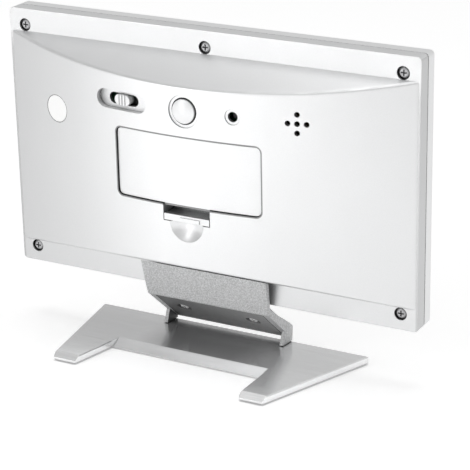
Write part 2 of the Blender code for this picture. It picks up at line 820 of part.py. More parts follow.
def case_screw_places():
    """Name, X and Z of the five case screws, with left and right as seen from the back."""
    return (
        ("top_left", CASE_SCREW_X, CASE_SCREW_Z),
        ("top_middle", 0, CASE_SCREW_Z),
        ("top_right", -CASE_SCREW_X, CASE_SCREW_Z),
        ("bottom_left", CASE_SCREW_X, -CASE_SCREW_Z),
        ("bottom_right", -CASE_SCREW_X, -CASE_SCREW_Z),
    )


def board_screw_places():
    return (
        ("left", EAR_X, EAR_Z),
        ("right", -EAR_X, EAR_Z),
        ("bottom", 0, BOARD_SCREW_Z),
    )


def key_places():
    middle = (len(KEY_NAMES) - 1) / 2
    return [(name, (index - middle) * KEY_PITCH) for index, name in enumerate(KEY_NAMES)]


def screw(name, head_radius, head_height, length, frame, placing):
    """Cross-head screw with its top at its origin and its shank down its own Z."""
    profile = (
        (0, 0),
        (head_radius - CROSS_WIDTH, 0),
        (head_radius, -CROSS_WIDTH),
        (head_radius, -head_height),
        (SHANK_RADIUS, -head_height),
        (SHANK_RADIUS, -head_height - length + SHANK_RADIUS / 2),
        (SHANK_RADIUS / 2, -head_height - length),
        (0, -head_height - length),
    )
    made = turned(name, profile, frame, screw_steel(), SCREW_SEGMENTS)
    arm = head_radius * 0.6
    half = CROSS_WIDTH / 2
    wide = tool(name + "_cross_x", box((-arm, -half, -CROSS_DEPTH), (arm, half, PAST)), frame)
    tall = tool(name + "_cross_y", box((-half, -arm, -CROSS_DEPTH), (half, arm, PAST)), frame)
    cut(made, wide, tall)
    for item in (made, wide, tall):
        item.matrix_local = placing
    return made


# Rear shell
def rear_shell():
    outline = rounded(CASE_WIDTH, CASE_HEIGHT, CASE_CORNER)
    shell = piece("rear_shell", plate(outline, SEAM_REAR, 0, "XZ"), CASE, silver_paint())
    bevel(shell, CASE_EDGE, 2)
    outside = bulge("back_outside", 0)
    bevel(outside, FACET_EDGE, 2)
    join(shell, outside)
    cut(shell, tool("rim_inside", rim_inside(), CASE), bulge("back_inside", BACK_WALL))
    add_bosses(shell)
    add_bay(shell)
    add_row_pads(shell)
    cut_bay(shell)
    cut_latch(shell)
    cut_row(shell)
    cut_screw_wells(shell)
    return shell


def rim_inside():
    width = CASE_WIDTH - 2 * SIDE_WALL
    height = CASE_HEIGHT - 2 * SIDE_WALL
    return plate(rounded(width, height, CASE_CORNER / 2), SEAM_REAR - PAST, -BACK_WALL, "XZ")


def add_bosses(shell):
    low = LIP_TOP + GAP
    bosses = [
        rod(BOSS_RADIUS, low, -BACK_WALL / 2, "Y", (x, 0, z), 24)
        for _, x, z in case_screw_places()
    ]
    join(shell, tool("case_bosses", together(*bosses), CASE))
    low = CONTROL_BOARD_BACK + GAP
    posts = [
        rod(CONTROL_BOSS_RADIUS, low, BULGE_DEPTH, "Y", (side * CONTROL_BOSS_X, 0, ROW_Z), 20)
        for side in (-1, 1)
    ]
    join(shell, under_back("control_bosses", together(*posts)))


def add_bay(shell):
    """Walls and floor of the battery bay, with the block round the latch's pocket."""
    half = BAY_WIDTH / 2 + BAY_WALL
    low = BAY_FLOOR - BAY_FLOOR_WALL
    top = DOOR_TOP + BACK_WALL
    bottom = LATCH_POCKET_TOP - LATCH_POCKET_WALL
    block = box((-half, low, bottom), (half, BULGE_DEPTH + PAST, top))
    join(shell, under_back("bay_block", block))
    half = LATCH_WIDTH / 2 + LATCH_POCKET_WALL
    low = LATCH_POCKET_FRONT - LATCH_POCKET_WALL
    bottom = LATCH_BOTTOM - LATCH_POCKET_WALL
    block = box((-half, low, bottom), (half, BULGE_DEPTH + PAST, LATCH_POCKET_TOP))
    join(shell, under_back("latch_block", block))
    radius = SCOOP_RADIUS + SCOOP_PAD
    pad = under_back("scoop_pad", rod(radius, 0, BULGE_DEPTH + PAST, "Y", (0, 0, LATCH_BOTTOM), 32))
    cut(pad, bulge("scoop_pad_depth", SCOOP_DEPTH + SCOOP_WALL))
    join(shell, pad)


def add_row_pads(shell):
    """Thicker wall behind the slide switch's recess, and the ring that seats the buzzer."""
    margin = 2 * SLIDE_FLOOR
    outline = stadium(SLIDE_RECESS_LENGTH + margin, SLIDE_RECESS_HEIGHT + margin, (SLIDE_X, ROW_Z))
    pad = under_back("slide_pad", plate(outline, 0, BULGE_DEPTH + PAST, "XZ"))
    cut(pad, bulge("slide_pad_depth", SLIDE_RECESS_DEPTH + SLIDE_FLOOR))
    join(shell, pad)
    radius = BUZZER_RADIUS + GAP + BUZZER_RING_WALL
    low = BUZZER_SEAT_Y - BUZZER_RING_DEPTH
    ring = rod(radius, low, BULGE_DEPTH, "Y", (SOUND_X, 0, SOUND_Z), 36)
    join(shell, under_back("buzzer_ring", ring))
    hollow = rod(BUZZER_SEAT_RADIUS, low - PAST, BULGE_DEPTH, "Y", (SOUND_X, 0, SOUND_Z), 36)
    hollow = tool("buzzer_hollow", hollow, CASE)
    trim(hollow, bulge("buzzer_hollow_bound", BACK_WALL))
    seat = rod(BUZZER_RADIUS + GAP, low - PAST, BUZZER_SEAT_Y, "Y", (SOUND_X, 0, SOUND_Z), 36)
    cut(shell, hollow, tool("buzzer_seat", seat, CASE))


def cut_bay(shell):
    outline = rounded(DOOR_WIDTH, DOOR_HEIGHT, DOOR_CORNER, (0, DOOR_Z), 4)
    recess = plate(outline, 0, BULGE_DEPTH + PAST, "XZ")
    cut(shell, down_to("door_recess", recess, DOOR_THICKNESS + GAP))
    half = BAY_WIDTH / 2
    bay = box((-half, BAY_FLOOR, BAY_BOTTOM), (half, BULGE_DEPTH + PAST, BAY_TOP))
    cut(shell, tool("bay", bay, CASE))
    middle = (CELL_TOP_Z + CELL_BOTTOM_Z) / 2
    low = (-BAY_RIB_LENGTH / 2, BAY_FLOOR - BAY_FLOOR_WALL / 2, middle - BAY_RIB_WIDTH / 2)
    high = (BAY_RIB_LENGTH / 2, BAY_FLOOR + BAY_RIB_HEIGHT, middle + BAY_RIB_WIDTH / 2)
    join(shell, tool("cell_rib", box(low, high), CASE))
    cut(shell, tool("contact_grooves", contact_grooves(), CASE))
    cut(shell, tool("contact_slots", contact_slots(), CASE))
    half = HOOK_WIDTH / 2 + GAP
    back = HOOK_BACK + GAP
    pockets = [
        box(
            (x - half, back - HOOK_POCKET_DEPTH, BAY_TOP - HOOK_REACH / 2),
            (x + half, back, DOOR_TOP + HOOK_REACH + GAP),
        )
        for x in (-HOOK_X, HOOK_X)
    ]
    cut(shell, tool("hook_pockets", together(*pockets), CASE))


def contact_grooves():
    """Upright grooves that hold the contact plates at both ends of the bay."""
    inner = BAY_WIDTH / 2 - CONTACT_THICKNESS - 2 * GAP
    outer = BAY_WIDTH / 2 + GAP / 2
    low = CONTACT_FRONT - GAP
    high = CONTACT_FRONT + CONTACT_HEIGHT + GAP
    top = BAY_TOP + CONTACT_GROOVE
    bottom = BAY_BOTTOM - CONTACT_GROOVE
    right = box((inner, low, bottom), (outer, high, top))
    left = box((-outer, low, bottom), (-inner, high, top))
    return together(right, left)


def contact_slots():
    """Slots in the bay's floor for the two soldered tabs."""
    x = contact_x()
    half = CONTACT_THICKNESS / 2 + GAP
    wide = TAB_WIDTH / 2 + GAP
    low = BAY_FLOOR - BAY_FLOOR_WALL - PAST
    high = BAY_FLOOR + PAST / 2
    slots = [
        box((-x - half, low, z - wide), (-x + half, high, z + wide))
        for z in (CELL_TOP_Z, CELL_BOTTOM_Z)
    ]
    return together(*slots)


def cut_latch(shell):
    half = LATCH_WIDTH / 2
    low = (-half, LATCH_POCKET_FRONT, LATCH_BOTTOM)
    cut(shell, tool("latch_pocket", box(low, (half, BULGE_DEPTH + PAST, LATCH_POCKET_TOP)), CASE))
    rise = (SCOOP_RADIUS ** 2 - SCOOP_DEPTH ** 2) / (2 * SCOOP_DEPTH)
    scoop = ball(rise + SCOOP_DEPTH, (0, BULGE_DEPTH + rise, LATCH_BOTTOM))
    scoop = tool("scoop", scoop, CASE)
    reach = 2 * SCOOP_RADIUS
    below = box((-reach, 0, LATCH_BOTTOM - reach), (reach, BULGE_DEPTH + reach, LATCH_BOTTOM + PAST / 2))
    trim(scoop, tool("scoop_below", below, CASE))
    cut(shell, scoop)


def cut_row(shell):
    """Recesses and holes of the controls, the sound holes and the sticker."""
    far = BULGE_DEPTH + PAST
    outline = stadium(SLIDE_RECESS_LENGTH, SLIDE_RECESS_HEIGHT, (SLIDE_X, ROW_Z))
    cut(shell, down_to("slide_recess", plate(outline, 0, far, "XZ"), SLIDE_RECESS_DEPTH))
    outline = stadium(SLIDE_SLOT_LENGTH, SLIDE_SLOT_HEIGHT, (SLIDE_X, ROW_Z))
    slot = plate(outline, KNOB_FLANGE_FRONT, far, "XZ")
    ring = rod(SNOOZE_RING_RADIUS, 0, far, "Y", (0, 0, ROW_Z), 40)
    cut(shell, down_to("snooze_ring", ring, SNOOZE_RING_DEPTH))
    ring = rod(RESET_RING_RADIUS, 0, far, "Y", (RESET_X, 0, RESET_Z), 24)
    cut(shell, down_to("reset_ring", ring, RESET_RING_DEPTH))
    snooze = rod(SNOOZE_HOLE_RADIUS, SNOOZE_FLANGE_BACK - PAST, far, "Y", (0, 0, ROW_Z), 36)
    low = SNOOZE_FLANGE_BACK - 2 * PAST
    reset = rod(RESET_HOLE_RADIUS, low, far, "Y", (RESET_X, 0, RESET_Z), 20)
    sound = [
        rod(SOUND_HOLE_RADIUS, BUZZER_SEAT_Y + PAST / 2, far, "Y", (SOUND_X + x, 0, SOUND_Z + z), 14)
        for x, z in sound_places()
    ]
    cut(shell, tool("row_holes", together(slot, snooze, reset, *sound), CASE))
    seat = rod(STICKER_RADIUS + RUNNING_GAP, 0, far, "Y", (STICKER_X, 0, STICKER_Z), 32)
    cut(shell, down_to("sticker_seat", seat, STICKER_SINK + STICKER_THICKNESS + RUNNING_GAP))


def sound_places():
    step = SOUND_PITCH
    return ((0, 0), (step, 0), (-step, 0), (0, step), (0, -step))


def cut_screw_wells(shell):
    wells = [
        rod(WELL_RADIUS, -WELL_DEPTH, PAST, "Y", (x, 0, z), 24) for _, x, z in case_screw_places()
    ]
    cut(shell, tool("screw_wells", together(*wells), CASE))
    holes = [
        rod(CLEAR_RADIUS, SEAM_REAR, 0, "Y", (x, 0, z), SCREW_SEGMENTS)
        for _, x, z in case_screw_places()
    ]
    for side in (-1, 1):
        place = (side * TONGUE_SCREW_X, 0, TONGUE_SCREW_Z)
        holes.append(rod(CLEAR_RADIUS, SEAM_REAR, PAST, "Y", place, SCREW_SEGMENTS))
        low = CONTROL_BOARD_FRONT
        high = CONTROL_BOARD_FRONT + CONTROL_SCREW_LENGTH + 2 * GAP
        place = (side * CONTROL_BOSS_X, 0, ROW_Z)
        holes.append(rod(PILOT_RADIUS, low, high, "Y", place, SCREW_SEGMENTS))
    cut(shell, tool("screw_holes", together(*holes), CASE))


# Front frame
def front_frame():
    outline = rounded(CASE_WIDTH, CASE_HEIGHT, CASE_CORNER)
    frame = piece("front_frame", plate(outline, FRONT, SEAM_FRONT, "XZ"), CASE, frame_paint())
    bevel(frame, CASE_EDGE, 2)
    join(frame, tool("frame_lip", lip_solid(), CASE))
    width = CASE_WIDTH - 2 * FRAME_WALL
    height = CASE_HEIGHT - 2 * FRAME_WALL
    hollow = plate(rounded(width, height, CASE_CORNER / 2), FRONT_INSIDE, 0, "XZ")
    cut(frame, tool("frame_hollow", hollow, CASE))
    join(frame, tool("frame_posts", frame_posts(), CASE))
    cut(frame, tool("window_recess", window_recess(), CASE))
    cut(frame, tool("frame_holes", frame_holes(), CASE))
    return frame


def lip_solid():
    """Block whose rim stands as a lip inside the rear shell."""
    width = CASE_WIDTH - 2 * (SIDE_WALL + GAP)
    height = CASE_HEIGHT - 2 * (SIDE_WALL + GAP)
    low = FRONT + FRONT_WALL / 2
    return plate(rounded(width, height, CASE_CORNER / 2), low, LIP_TOP, "XZ")


def frame_posts():
    """Posts for the case screws and the main board's screws."""
    low = FRONT_INSIDE - FRONT_WALL / 4
    posts = [rod(POST_RADIUS, low, LIP_TOP, "Y", (x, 0, z), 20) for _, x, z in case_screw_places()]
    high = BOARD_FRONT - GAP
    posts += [rod(BOARD_POST_RADIUS, low, high, "Y", (x, 0, z), 16) for _, x, z in board_screw_places()]
    return together(*posts)


def window_recess():
    width = WINDOW_WIDTH + 2 * RUNNING_GAP
    height = WINDOW_HEIGHT + 2 * RUNNING_GAP
    outline = rounded(width, height, CASE_CORNER, (0, WINDOW_Z))
    return plate(outline, FRONT - PAST, WINDOW_SEAT, "XZ")


def frame_holes():
    """The display's opening, the keys' holes and the pilot holes of the screws."""
    outline = rounded(OPENING_WIDTH, OPENING_HEIGHT, CASE_CORNER, (0, WINDOW_Z))
    holes = [plate(outline, WINDOW_SEAT - PAST / 4, PANEL_STEP, "XZ")]
    width = KEY_WIDTH + 2 * RUNNING_GAP
    height = KEY_HEIGHT + 2 * RUNNING_GAP
    for _, x in key_places():
        outline = rounded(width, height, KEY_CORNER, (x, KEY_Z))
        holes.append(plate(outline, FRONT - PAST, FRONT_INSIDE + PAST, "XZ"))
    for _, x, z in case_screw_places() + board_screw_places():
        holes.append(rod(PILOT_RADIUS, FRONT_INSIDE, 0, "Y", (x, 0, z), SCREW_SEGMENTS))
    return together(*holes)


# Case screws
def screw_at(name, head_radius, head_height, length, place, turn):
    placing = Matrix.Translation(place) @ turn
    return screw(name, head_radius, head_height, length, CASE, placing)


def case_screws():
    top = GAP - WELL_DEPTH + HEAD_HEIGHT
    for name, x, z in case_screw_places():
        screw_at(
            "case_screw_" + name,
            HEAD_RADIUS,
            HEAD_HEIGHT,
            CASE_SCREW_LENGTH,
            (x, top, z),
            TURNS["Y"],
        )


def main_board_screws():
    top = BOARD_BACK + GAP + SMALL_HEAD_HEIGHT
    for name, x, z in board_screw_places():
        screw_at(
            "main_board_screw_" + name,
            SMALL_HEAD_RADIUS,
            SMALL_HEAD_HEIGHT,
            BOARD_SCREW_LENGTH,
            (x, top, z),
            TURNS["Y"],
        )


def control_board_screws():
    top = CONTROL_BOARD_FRONT - GAP - SMALL_HEAD_HEIGHT
    for name, side in (("left", 1), ("right", -1)):
        screw_at(
            "control_board_screw_" + name,
            SMALL_HEAD_RADIUS,
            SMALL_HEAD_HEIGHT,
            CONTROL_SCREW_LENGTH,
            (side * CONTROL_BOSS_X, top, ROW_Z),
            Matrix.Rotation(math.pi / 2, 4, "X"),
        )


def tongue_screws():
    top = -BACK_WALL - GAP - SMALL_HEAD_HEIGHT
    for name, side in (("left", 1), ("right", -1)):
        screw_at(
            "tongue_screw_" + name,
            SMALL_HEAD_RADIUS,
            SMALL_HEAD_HEIGHT,
            TONGUE_SCREW_LENGTH,
            (side * TONGUE_SCREW_X, top, TONGUE_SCREW_Z),
            Matrix.Rotation(math.pi / 2, 4, "X"),
        )


# Display stack
def display_window():
    outline = rounded(WINDOW_WIDTH, WINDOW_HEIGHT, CASE_CORNER, (0, WINDOW_Z))
    mesh = plate(outline, FRONT, FRONT + WINDOW_THICKNESS, "XZ")
    return piece("display_window", mesh, CASE, clear_window())


def display_panel():
    """Two glasses; the front one reaches lower, as a ledge for the contacts."""
    ledge = PANEL_BOTTOM + PANEL_LEDGE
    points = [
        (PANEL_FRONT, PANEL_BOTTOM),
        (PANEL_STEP, PANEL_BOTTOM),
        (PANEL_STEP, ledge),
        (PANEL_BACK, ledge),
        (PANEL_BACK, PANEL_TOP),
        (PANEL_FRONT, PANEL_TOP),
    ]
    mesh = plate(points, -PANEL_WIDTH / 2, PANEL_WIDTH / 2, "YZ")
    return piece("display_panel", mesh, CASE, panel_glass())


def connector_strip():
    bottom = PANEL_BOTTOM + GAP
    low = (-GUIDE_RIGHT, PANEL_STEP + GAP, bottom)
    high = (GUIDE_RIGHT, BOARD_FRONT - GAP, bottom + STRIP_WIDTH)
    return piece("connector_strip", box(low, high), CASE, strip_rubber())


def light_guide():
    bottom = PANEL_BOTTOM + PANEL_LEDGE + GUIDE_INSET / 2
    front = PANEL_BACK + GAP
    low = (-GUIDE_RIGHT, front, bottom)
    high = (GUIDE_RIGHT, front + GUIDE_THICKNESS, PANEL_TOP - GUIDE_INSET)
    return piece("light_guide", box(low, high), CASE, guide_acrylic())


def light_diode():
    left = GUIDE_RIGHT + GAP
    half = DIODE_SIZE / 2
    low = (left, PANEL_BACK + GAP, WINDOW_Z - half)
    high = (left + half, BOARD_FRONT - GAP, WINDOW_Z + half)
    return piece("light_diode", box(low, high), CASE, diode_resin())


# Boards and their parts
def main_board():
    """Board with a rounded ear on each side for its upper screws."""
    half = BOARD_WIDTH / 2
    ear = arc_points((EAR_X, EAR_Z), EAR_RADIUS, -90, 90, 8)
    right = [(half, BOARD_BOTTOM), (half, EAR_Z - EAR_SPREAD), *ear, (half, BOARD_TOP)]
    mesh = plate(mirrored(right), BOARD_FRONT, BOARD_BACK, "XZ")
    board = piece("main_board", mesh, CASE, board_green())
    holes = [
        rod(CLEAR_RADIUS, BOARD_FRONT - PAST, BOARD_BACK + PAST, "Y", (x, 0, z), SCREW_SEGMENTS)
        for _, x, z in board_screw_places()
    ]
    cut(board, tool("board_holes", together(*holes), CASE))
    return board


def chip():
    """Blob of resin over the clock's chip, on the back of the main board."""
    profile = [
        (0, CHIP_HEIGHT),
        (CHIP_RADIUS * 0.4, CHIP_HEIGHT * 0.95),
        (CHIP_RADIUS * 0.75, CHIP_HEIGHT * 0.7),
        (CHIP_RADIUS, 0),
        (0, 0),
    ]
    made = turned("chip", profile, CASE, dark_plastic(), 20)
    made.matrix_local = Matrix.Translation((CHIP_X, BOARD_BACK + GAP, CHIP_Z)) @ TURNS["Y"]
    return made


def crystal():
    edge = CRYSTAL_RADIUS / 4
    half = CRYSTAL_LENGTH / 2
    profile = [
        (0, half),
        (CRYSTAL_RADIUS - edge, half),
        (CRYSTAL_RADIUS, half - edge),
        (CRYSTAL_RADIUS, -half),
        (0, -half),
    ]
    made = turned("crystal", profile, CASE, spring_steel(), 14)
    place = (CHIP_X, BOARD_BACK + GAP + CRYSTAL_RADIUS, CRYSTAL_Z)
    made.matrix_local = Matrix.Translation(place) @ TURNS["X"]
    return made


def control_board():
    width = CONTROL_BOARD_RIGHT - CONTROL_BOARD_LEFT
    middle = (CONTROL_BOARD_RIGHT + CONTROL_BOARD_LEFT) / 2
    outline = rounded(width, CONTROL_BOARD_HEIGHT, CASE_CORNER, (middle, ROW_Z))
    mesh = plate(outline, CONTROL_BOARD_FRONT, CONTROL_BOARD_BACK, "XZ")
    board = piece("control_board", mesh, CASE, board_green())
    low = CONTROL_BOARD_FRONT - PAST
    high = CONTROL_BOARD_BACK + PAST
    holes = [
        rod(CLEAR_RADIUS, low, high, "Y", (side * CONTROL_BOSS_X, 0, ROW_Z), SCREW_SEGMENTS)
        for side in (-1, 1)
    ]
    cut(board, tool("control_board_holes", together(*holes), CASE))
    return board


def board_ribbon():
    """Flat cable bent in a U from the control board's front to the main board's back."""
    top = CONTROL_BOARD_FRONT - GAP
    bottom = BOARD_BACK + GAP
    radius = (top - bottom - RIBBON_THICKNESS) / 2
    middle = (top + bottom) / 2
    outer = arc_points((middle, RIBBON_TURN_Z), radius + RIBBON_THICKNESS / 2, 0, 180, RIBBON_STEPS)
    inner = arc_points((middle, RIBBON_TURN_Z), radius - RIBBON_THICKNESS / 2, 180, 0, RIBBON_STEPS)
    points = [(top, RIBBON_END_Z), *outer, (bottom, RIBBON_END_Z)]
    points += [(bottom + RIBBON_THICKNESS, RIBBON_END_Z), *inner, (top - RIBBON_THICKNESS, RIBBON_END_Z)]
    half = RIBBON_WIDTH / 2
    mesh = plate(points, RIBBON_X - half, RIBBON_X + half, "YZ")
    return piece("board_ribbon", mesh, CASE, ribbon_film())


# Set keys
def set_key(name, x):
    outline = rounded(KEY_WIDTH, KEY_HEIGHT, KEY_CORNER, (x, KEY_Z))
    rim_front = FRONT_INSIDE + GAP
    rim_back = rim_front + KEY_RIM_THICKNESS
    cap = plate(outline, FRONT - KEY_PROUD, rim_front + RUNNING_GAP, "XZ")
    key = piece("key_" + name, cap, CASE, key_plastic())
    bevel(key, KEY_PROUD / 2, 2)
    outline = rounded(KEY_WIDTH + 2 * KEY_RIM, KEY_HEIGHT + 2 * KEY_RIM, KEY_CORNER, (x, KEY_Z))
    rim = tool("key_rim_" + name, plate(outline, rim_front, rim_back, "XZ"), CASE)
    stem_end = key_switch_front() - KEY_TRAVEL - RUNNING_GAP / 2
    stem = rod(KEY_STEM_RADIUS, rim_front + RUNNING_GAP, stem_end, "Y", (x, 0, KEY_Z), 14)
    join(key, rim, tool("key_stem_" + name, stem, CASE))
    return key


def key_switch_front():
    return BOARD_FRONT - GAP - KEY_SWITCH_DEPTH


def key_switch(name, x):
    half = KEY_SWITCH_WIDTH / 2
    rise = KEY_SWITCH_HEIGHT / 2
    low = (x - half, key_switch_front(), KEY_Z - rise)
    high = (x + half, BOARD_FRONT - GAP, KEY_Z + rise)
    switch = piece("key_switch_" + name, box(low, high), CASE, dark_plastic())
    bevel(switch, GAP / 2, 1)
    return switch


# Slide switch
def slide_knob():
    """Ribbed knob on a flange that stays under the slot, with a socket for the switch's lever."""
    outline = rounded(KNOB_LENGTH, KNOB_HEIGHT, KNOB_CORNER, (SLIDE_X, ROW_Z))
    block = plate(outline, KNOB_FLANGE_FRONT + RUNNING_GAP, BULGE_DEPTH, "XZ")
    knob = piece("slide_knob", block, CASE, pale_plastic())
    trim(knob, bulge("knob_top", KNOB_SINK))
    wide = KNOB_RIB_GROOVE / 2
    grooves = []
    for index in range(KNOB_RIBS):
        x = SLIDE_X + (index - (KNOB_RIBS - 1) / 2) * KNOB_RIB_PITCH
        low = (x - wide, 0, ROW_Z - KNOB_HEIGHT)
        grooves.append(box(low, (x + wide, BULGE_DEPTH, ROW_Z + KNOB_HEIGHT)))
    cut(knob, down_to("knob_grooves", together(*grooves), KNOB_SINK + KNOB_RIB_DEPTH))
    half = KNOB_FLANGE_LENGTH / 2
    rise = KNOB_FLANGE_HEIGHT / 2
    low = (SLIDE_X - half, KNOB_FLANGE_FRONT, ROW_Z - rise)
    high = (SLIDE_X + half, KNOB_FLANGE_FRONT + KNOB_FLANGE_THICKNESS, ROW_Z + rise)
    join(knob, tool("knob_flange", box(low, high), CASE))
    half = LEVER_SIZE / 2 + RUNNING_GAP
    low = (SLIDE_X - half, KNOB_FLANGE_FRONT - PAST, ROW_Z - half)
    high = (SLIDE_X + half, lever_front() + LEVER_LENGTH + GAP, ROW_Z + half)
    cut(knob, tool("knob_socket", box(low, high), CASE))
    return knob


def slide_body_back():
    return CONTROL_BOARD_BACK + GAP + SLIDE_BODY_DEPTH


def lever_front():
    return slide_body_back() - LEVER_SINK


def slide_lever():
    half = LEVER_SIZE / 2
    low = (SLIDE_X - half, lever_front(), ROW_Z - half)
    high = (SLIDE_X + half, lever_front() + LEVER_LENGTH, ROW_Z + half)
    return piece("slide_lever", box(low, high), CASE, dark_plastic())


def slide_switch():
    half = SLIDE_BODY_LENGTH / 2
    rise = SLIDE_BODY_HEIGHT / 2
    back = slide_body_back()
    low = (SLIDE_X - half, CONTROL_BOARD_BACK + GAP, ROW_Z - rise)
    body = box(low, (SLIDE_X + half, back, ROW_Z + rise))
    switch = piece("slide_switch", body, CASE, contact_nickel())
    half = LEVER_SIZE / 2 + SLIDE_TRAVEL + RUNNING_GAP
    rise = LEVER_SIZE / 2 + RUNNING_GAP
    low = (SLIDE_X - half, back - LEVER_SINK - GAP, ROW_Z - rise)
    slot = box(low, (SLIDE_X + half, back + PAST, ROW_Z + rise))
    cut(switch, tool("lever_slot", slot, CASE))
    return switch


# Snooze and light button
def snooze_button():
    top = back_at(0) + SNOOZE_PROUD
    front = SNOOZE_FLANGE_BACK - SNOOZE_FLANGE_THICKNESS
    stem_end = snooze_switch_back() + PLUNGER_RISE + GAP
    dome = SNOOZE_RADIUS
    profile = [
        (0, top),
        (dome * 0.35, top - SNOOZE_DOME * 0.12),
        (dome * 0.65, top - SNOOZE_DOME * 0.42),
        (dome * 0.88, top - SNOOZE_DOME * 0.78),
        (dome, top - SNOOZE_DOME * 1.1),
        (dome, SNOOZE_FLANGE_BACK),
        (SNOOZE_FLANGE_RADIUS, SNOOZE_FLANGE_BACK),
        (SNOOZE_FLANGE_RADIUS, front),
        (SNOOZE_STEM_RADIUS, front),
        (SNOOZE_STEM_RADIUS, stem_end),
        (0, stem_end),
    ]
    made = turned("snooze_button", profile, CASE, pale_plastic(), 36)
    made.matrix_local = Matrix.Translation((0, 0, ROW_Z)) @ TURNS["Y"]
    return made


def snooze_switch_back():
    return CONTROL_BOARD_BACK + GAP + SNOOZE_SWITCH_DEPTH


def plunger(name, radius, sink, rise, place):
    """Round plunger that stands in its switch's bore, with a small bevel at its tip."""
    edge = radius / 5
    profile = [(0, rise), (radius - edge, rise), (radius, rise - edge), (radius, -sink), (0, -sink)]
    made = turned(name, profile, CASE, dark_plastic(), 18)
    made.matrix_local = Matrix.Translation(place) @ TURNS["Y"]
    return made


def snooze_plunger():
    place = (0, snooze_switch_back(), ROW_Z)
    return plunger("snooze_plunger", PLUNGER_RADIUS, PLUNGER_SINK, PLUNGER_RISE, place)


def switch_body(name, x, z, size, back, bore_radius, bore_depth):
    """Square body of a press switch, with the bore its plunger moves in."""
    half = size / 2
    low = (x - half, CONTROL_BOARD_BACK + GAP, z - half)
    switch = piece(name, box(low, (x + half, back, z + half)), CASE, dark_plastic())
    bore = rod(bore_radius, back - bore_depth, back + PAST, "Y", (x, 0, z), 18)
    cut(switch, tool(name + "_bore", bore, CASE))
    return switch


def snooze_switch():
    bore = PLUNGER_RADIUS + GAP
    depth = PLUNGER_SINK + SNOOZE_TRAVEL + GAP
    back = snooze_switch_back()
    return switch_body("snooze_switch", 0, ROW_Z, SNOOZE_SWITCH_SIZE, back, bore, depth)


# Reset
def reset_switch_back():
    return CONTROL_BOARD_BACK + GAP + RESET_SWITCH_DEPTH


def reset_switch():
    bore = RESET_RADIUS + GAP
    depth = RESET_SINK + RESET_TRAVEL + GAP
    back = reset_switch_back()
    return switch_body("reset_switch", RESET_X, RESET_Z, RESET_SWITCH_SIZE, back, bore, depth)


def reset_plunger():
    place = (RESET_X, reset_switch_back(), RESET_Z)
    return plunger("reset_plunger", RESET_RADIUS, RESET_SINK, RESET_RISE, place)


# Buzzer and sticker
def buzzer():
    """Thin brass disc with a smaller ceramic one on it."""
    half = BUZZER_THICKNESS / 2
    ceramic = BUZZER_RADIUS * 0.7
    profile = [
        (0, half),
        (BUZZER_RADIUS, half),
        (BUZZER_RADIUS, 0),
        (ceramic, 0),
        (ceramic, -half),
        (0, -half),
    ]
    made = turned("buzzer", profile, CASE, buzzer_brass(), 32)
    place = (SOUND_X, BUZZER_SEAT_Y - GAP - half, SOUND_Z)
    made.matrix_local = Matrix.Translation(place) @ TURNS["Y"]
    return made


def sticker():
    disc = rod(STICKER_RADIUS, 0, BULGE_DEPTH, "Y", (STICKER_X, 0, STICKER_Z), 32)
    made = piece("sticker", disc, CASE, sticker_paper())
    trim(made, bulge("sticker_top", STICKER_SINK))
    cut(made, bulge("sticker_bottom", STICKER_SINK + STICKER_THICKNESS))
    return made


# Battery door
def battery_door():
    width = DOOR_WIDTH - 2 * DOOR_GAP
    height = DOOR_HEIGHT - 2 * DOOR_GAP
    outline = rounded(width, height, DOOR_CORNER - DOOR_GAP, (0, DOOR_Z), 4)
    door = piece("battery_door", plate(outline, 0, BULGE_DEPTH + PAST, "XZ"), CASE, silver_paint())
    trim(door, bulge("door_outside", DOOR_SINK))
    cut(door, bulge("door_inside", DOOR_THICKNESS))
    join(door, tool("door_tongue", tongue(), CASE), tool("latch_pad", latch_pad(), CASE))
    front = HOOK_BACK - HOOK_THICKNESS
    root_back = back_at(HOOK_X + HOOK_WIDTH) - DOOR_THICKNESS / 2
    inner = DOOR_TOP - DOOR_GAP - BACK_WALL / 2
    for name, x in (("left", HOOK_X), ("right", -HOOK_X)):
        half = HOOK_WIDTH / 2
        low = Vector((x - half, front, inner - HOOK_ROOT))
        hook = box(low, (x + half, HOOK_BACK, DOOR_TOP + HOOK_REACH))
        root = box(low + Vector((GAP, GAP, GAP)), (x + half - GAP, root_back, inner))
        join(door, tool("door_hook_" + name, hook, CASE), tool("door_hook_root_" + name, root, CASE))
    return door


def door_pivot():
    """Outermost line of the opening's upper edge, on which the door swings."""
    return (0, BULGE_DEPTH, DOOR_TOP)


def tongue():
    """The latch's sprung tongue: in along the door's lower edge, round, and back out to a bar."""
    thick = TONGUE_THICKNESS
    top = TONGUE_TOP
    centre = (TONGUE_BEND_Y, top - thick / 2 - TONGUE_SPREAD / 2)
    outer = arc_points(centre, TONGUE_SPREAD / 2 + thick / 2, 90, 270, TONGUE_STEPS)
    inner = arc_points(centre, TONGUE_SPREAD / 2 - thick / 2, 270, 90, TONGUE_STEPS)
    bar_bottom = LATCH_BOTTOM + GAP
    bar_front = BULGE_DEPTH - LATCH_BAR_DEPTH
    bar_back = BULGE_DEPTH - RUNNING_GAP
    inside = BULGE_DEPTH - DOOR_THICKNESS + RUNNING_GAP / 2
    root = inside + TONGUE_ROOT
    points = [
        (root, top + thick),
        (inside, top + thick),
        (inside, top),
        *outer,
        (bar_front, outer[-1][1]),
        (bar_front, bar_bottom),
        (bar_back, bar_bottom),
        (bar_back, bar_bottom + LATCH_BAR_HEIGHT),
        (bar_front, bar_bottom + LATCH_BAR_HEIGHT),
        (bar_front, inner[0][1]),
        *inner,
        (root, top - thick),
    ]
    half = LATCH_WIDTH / 2 - GAP
    return plate(points, -half, half, "YZ")


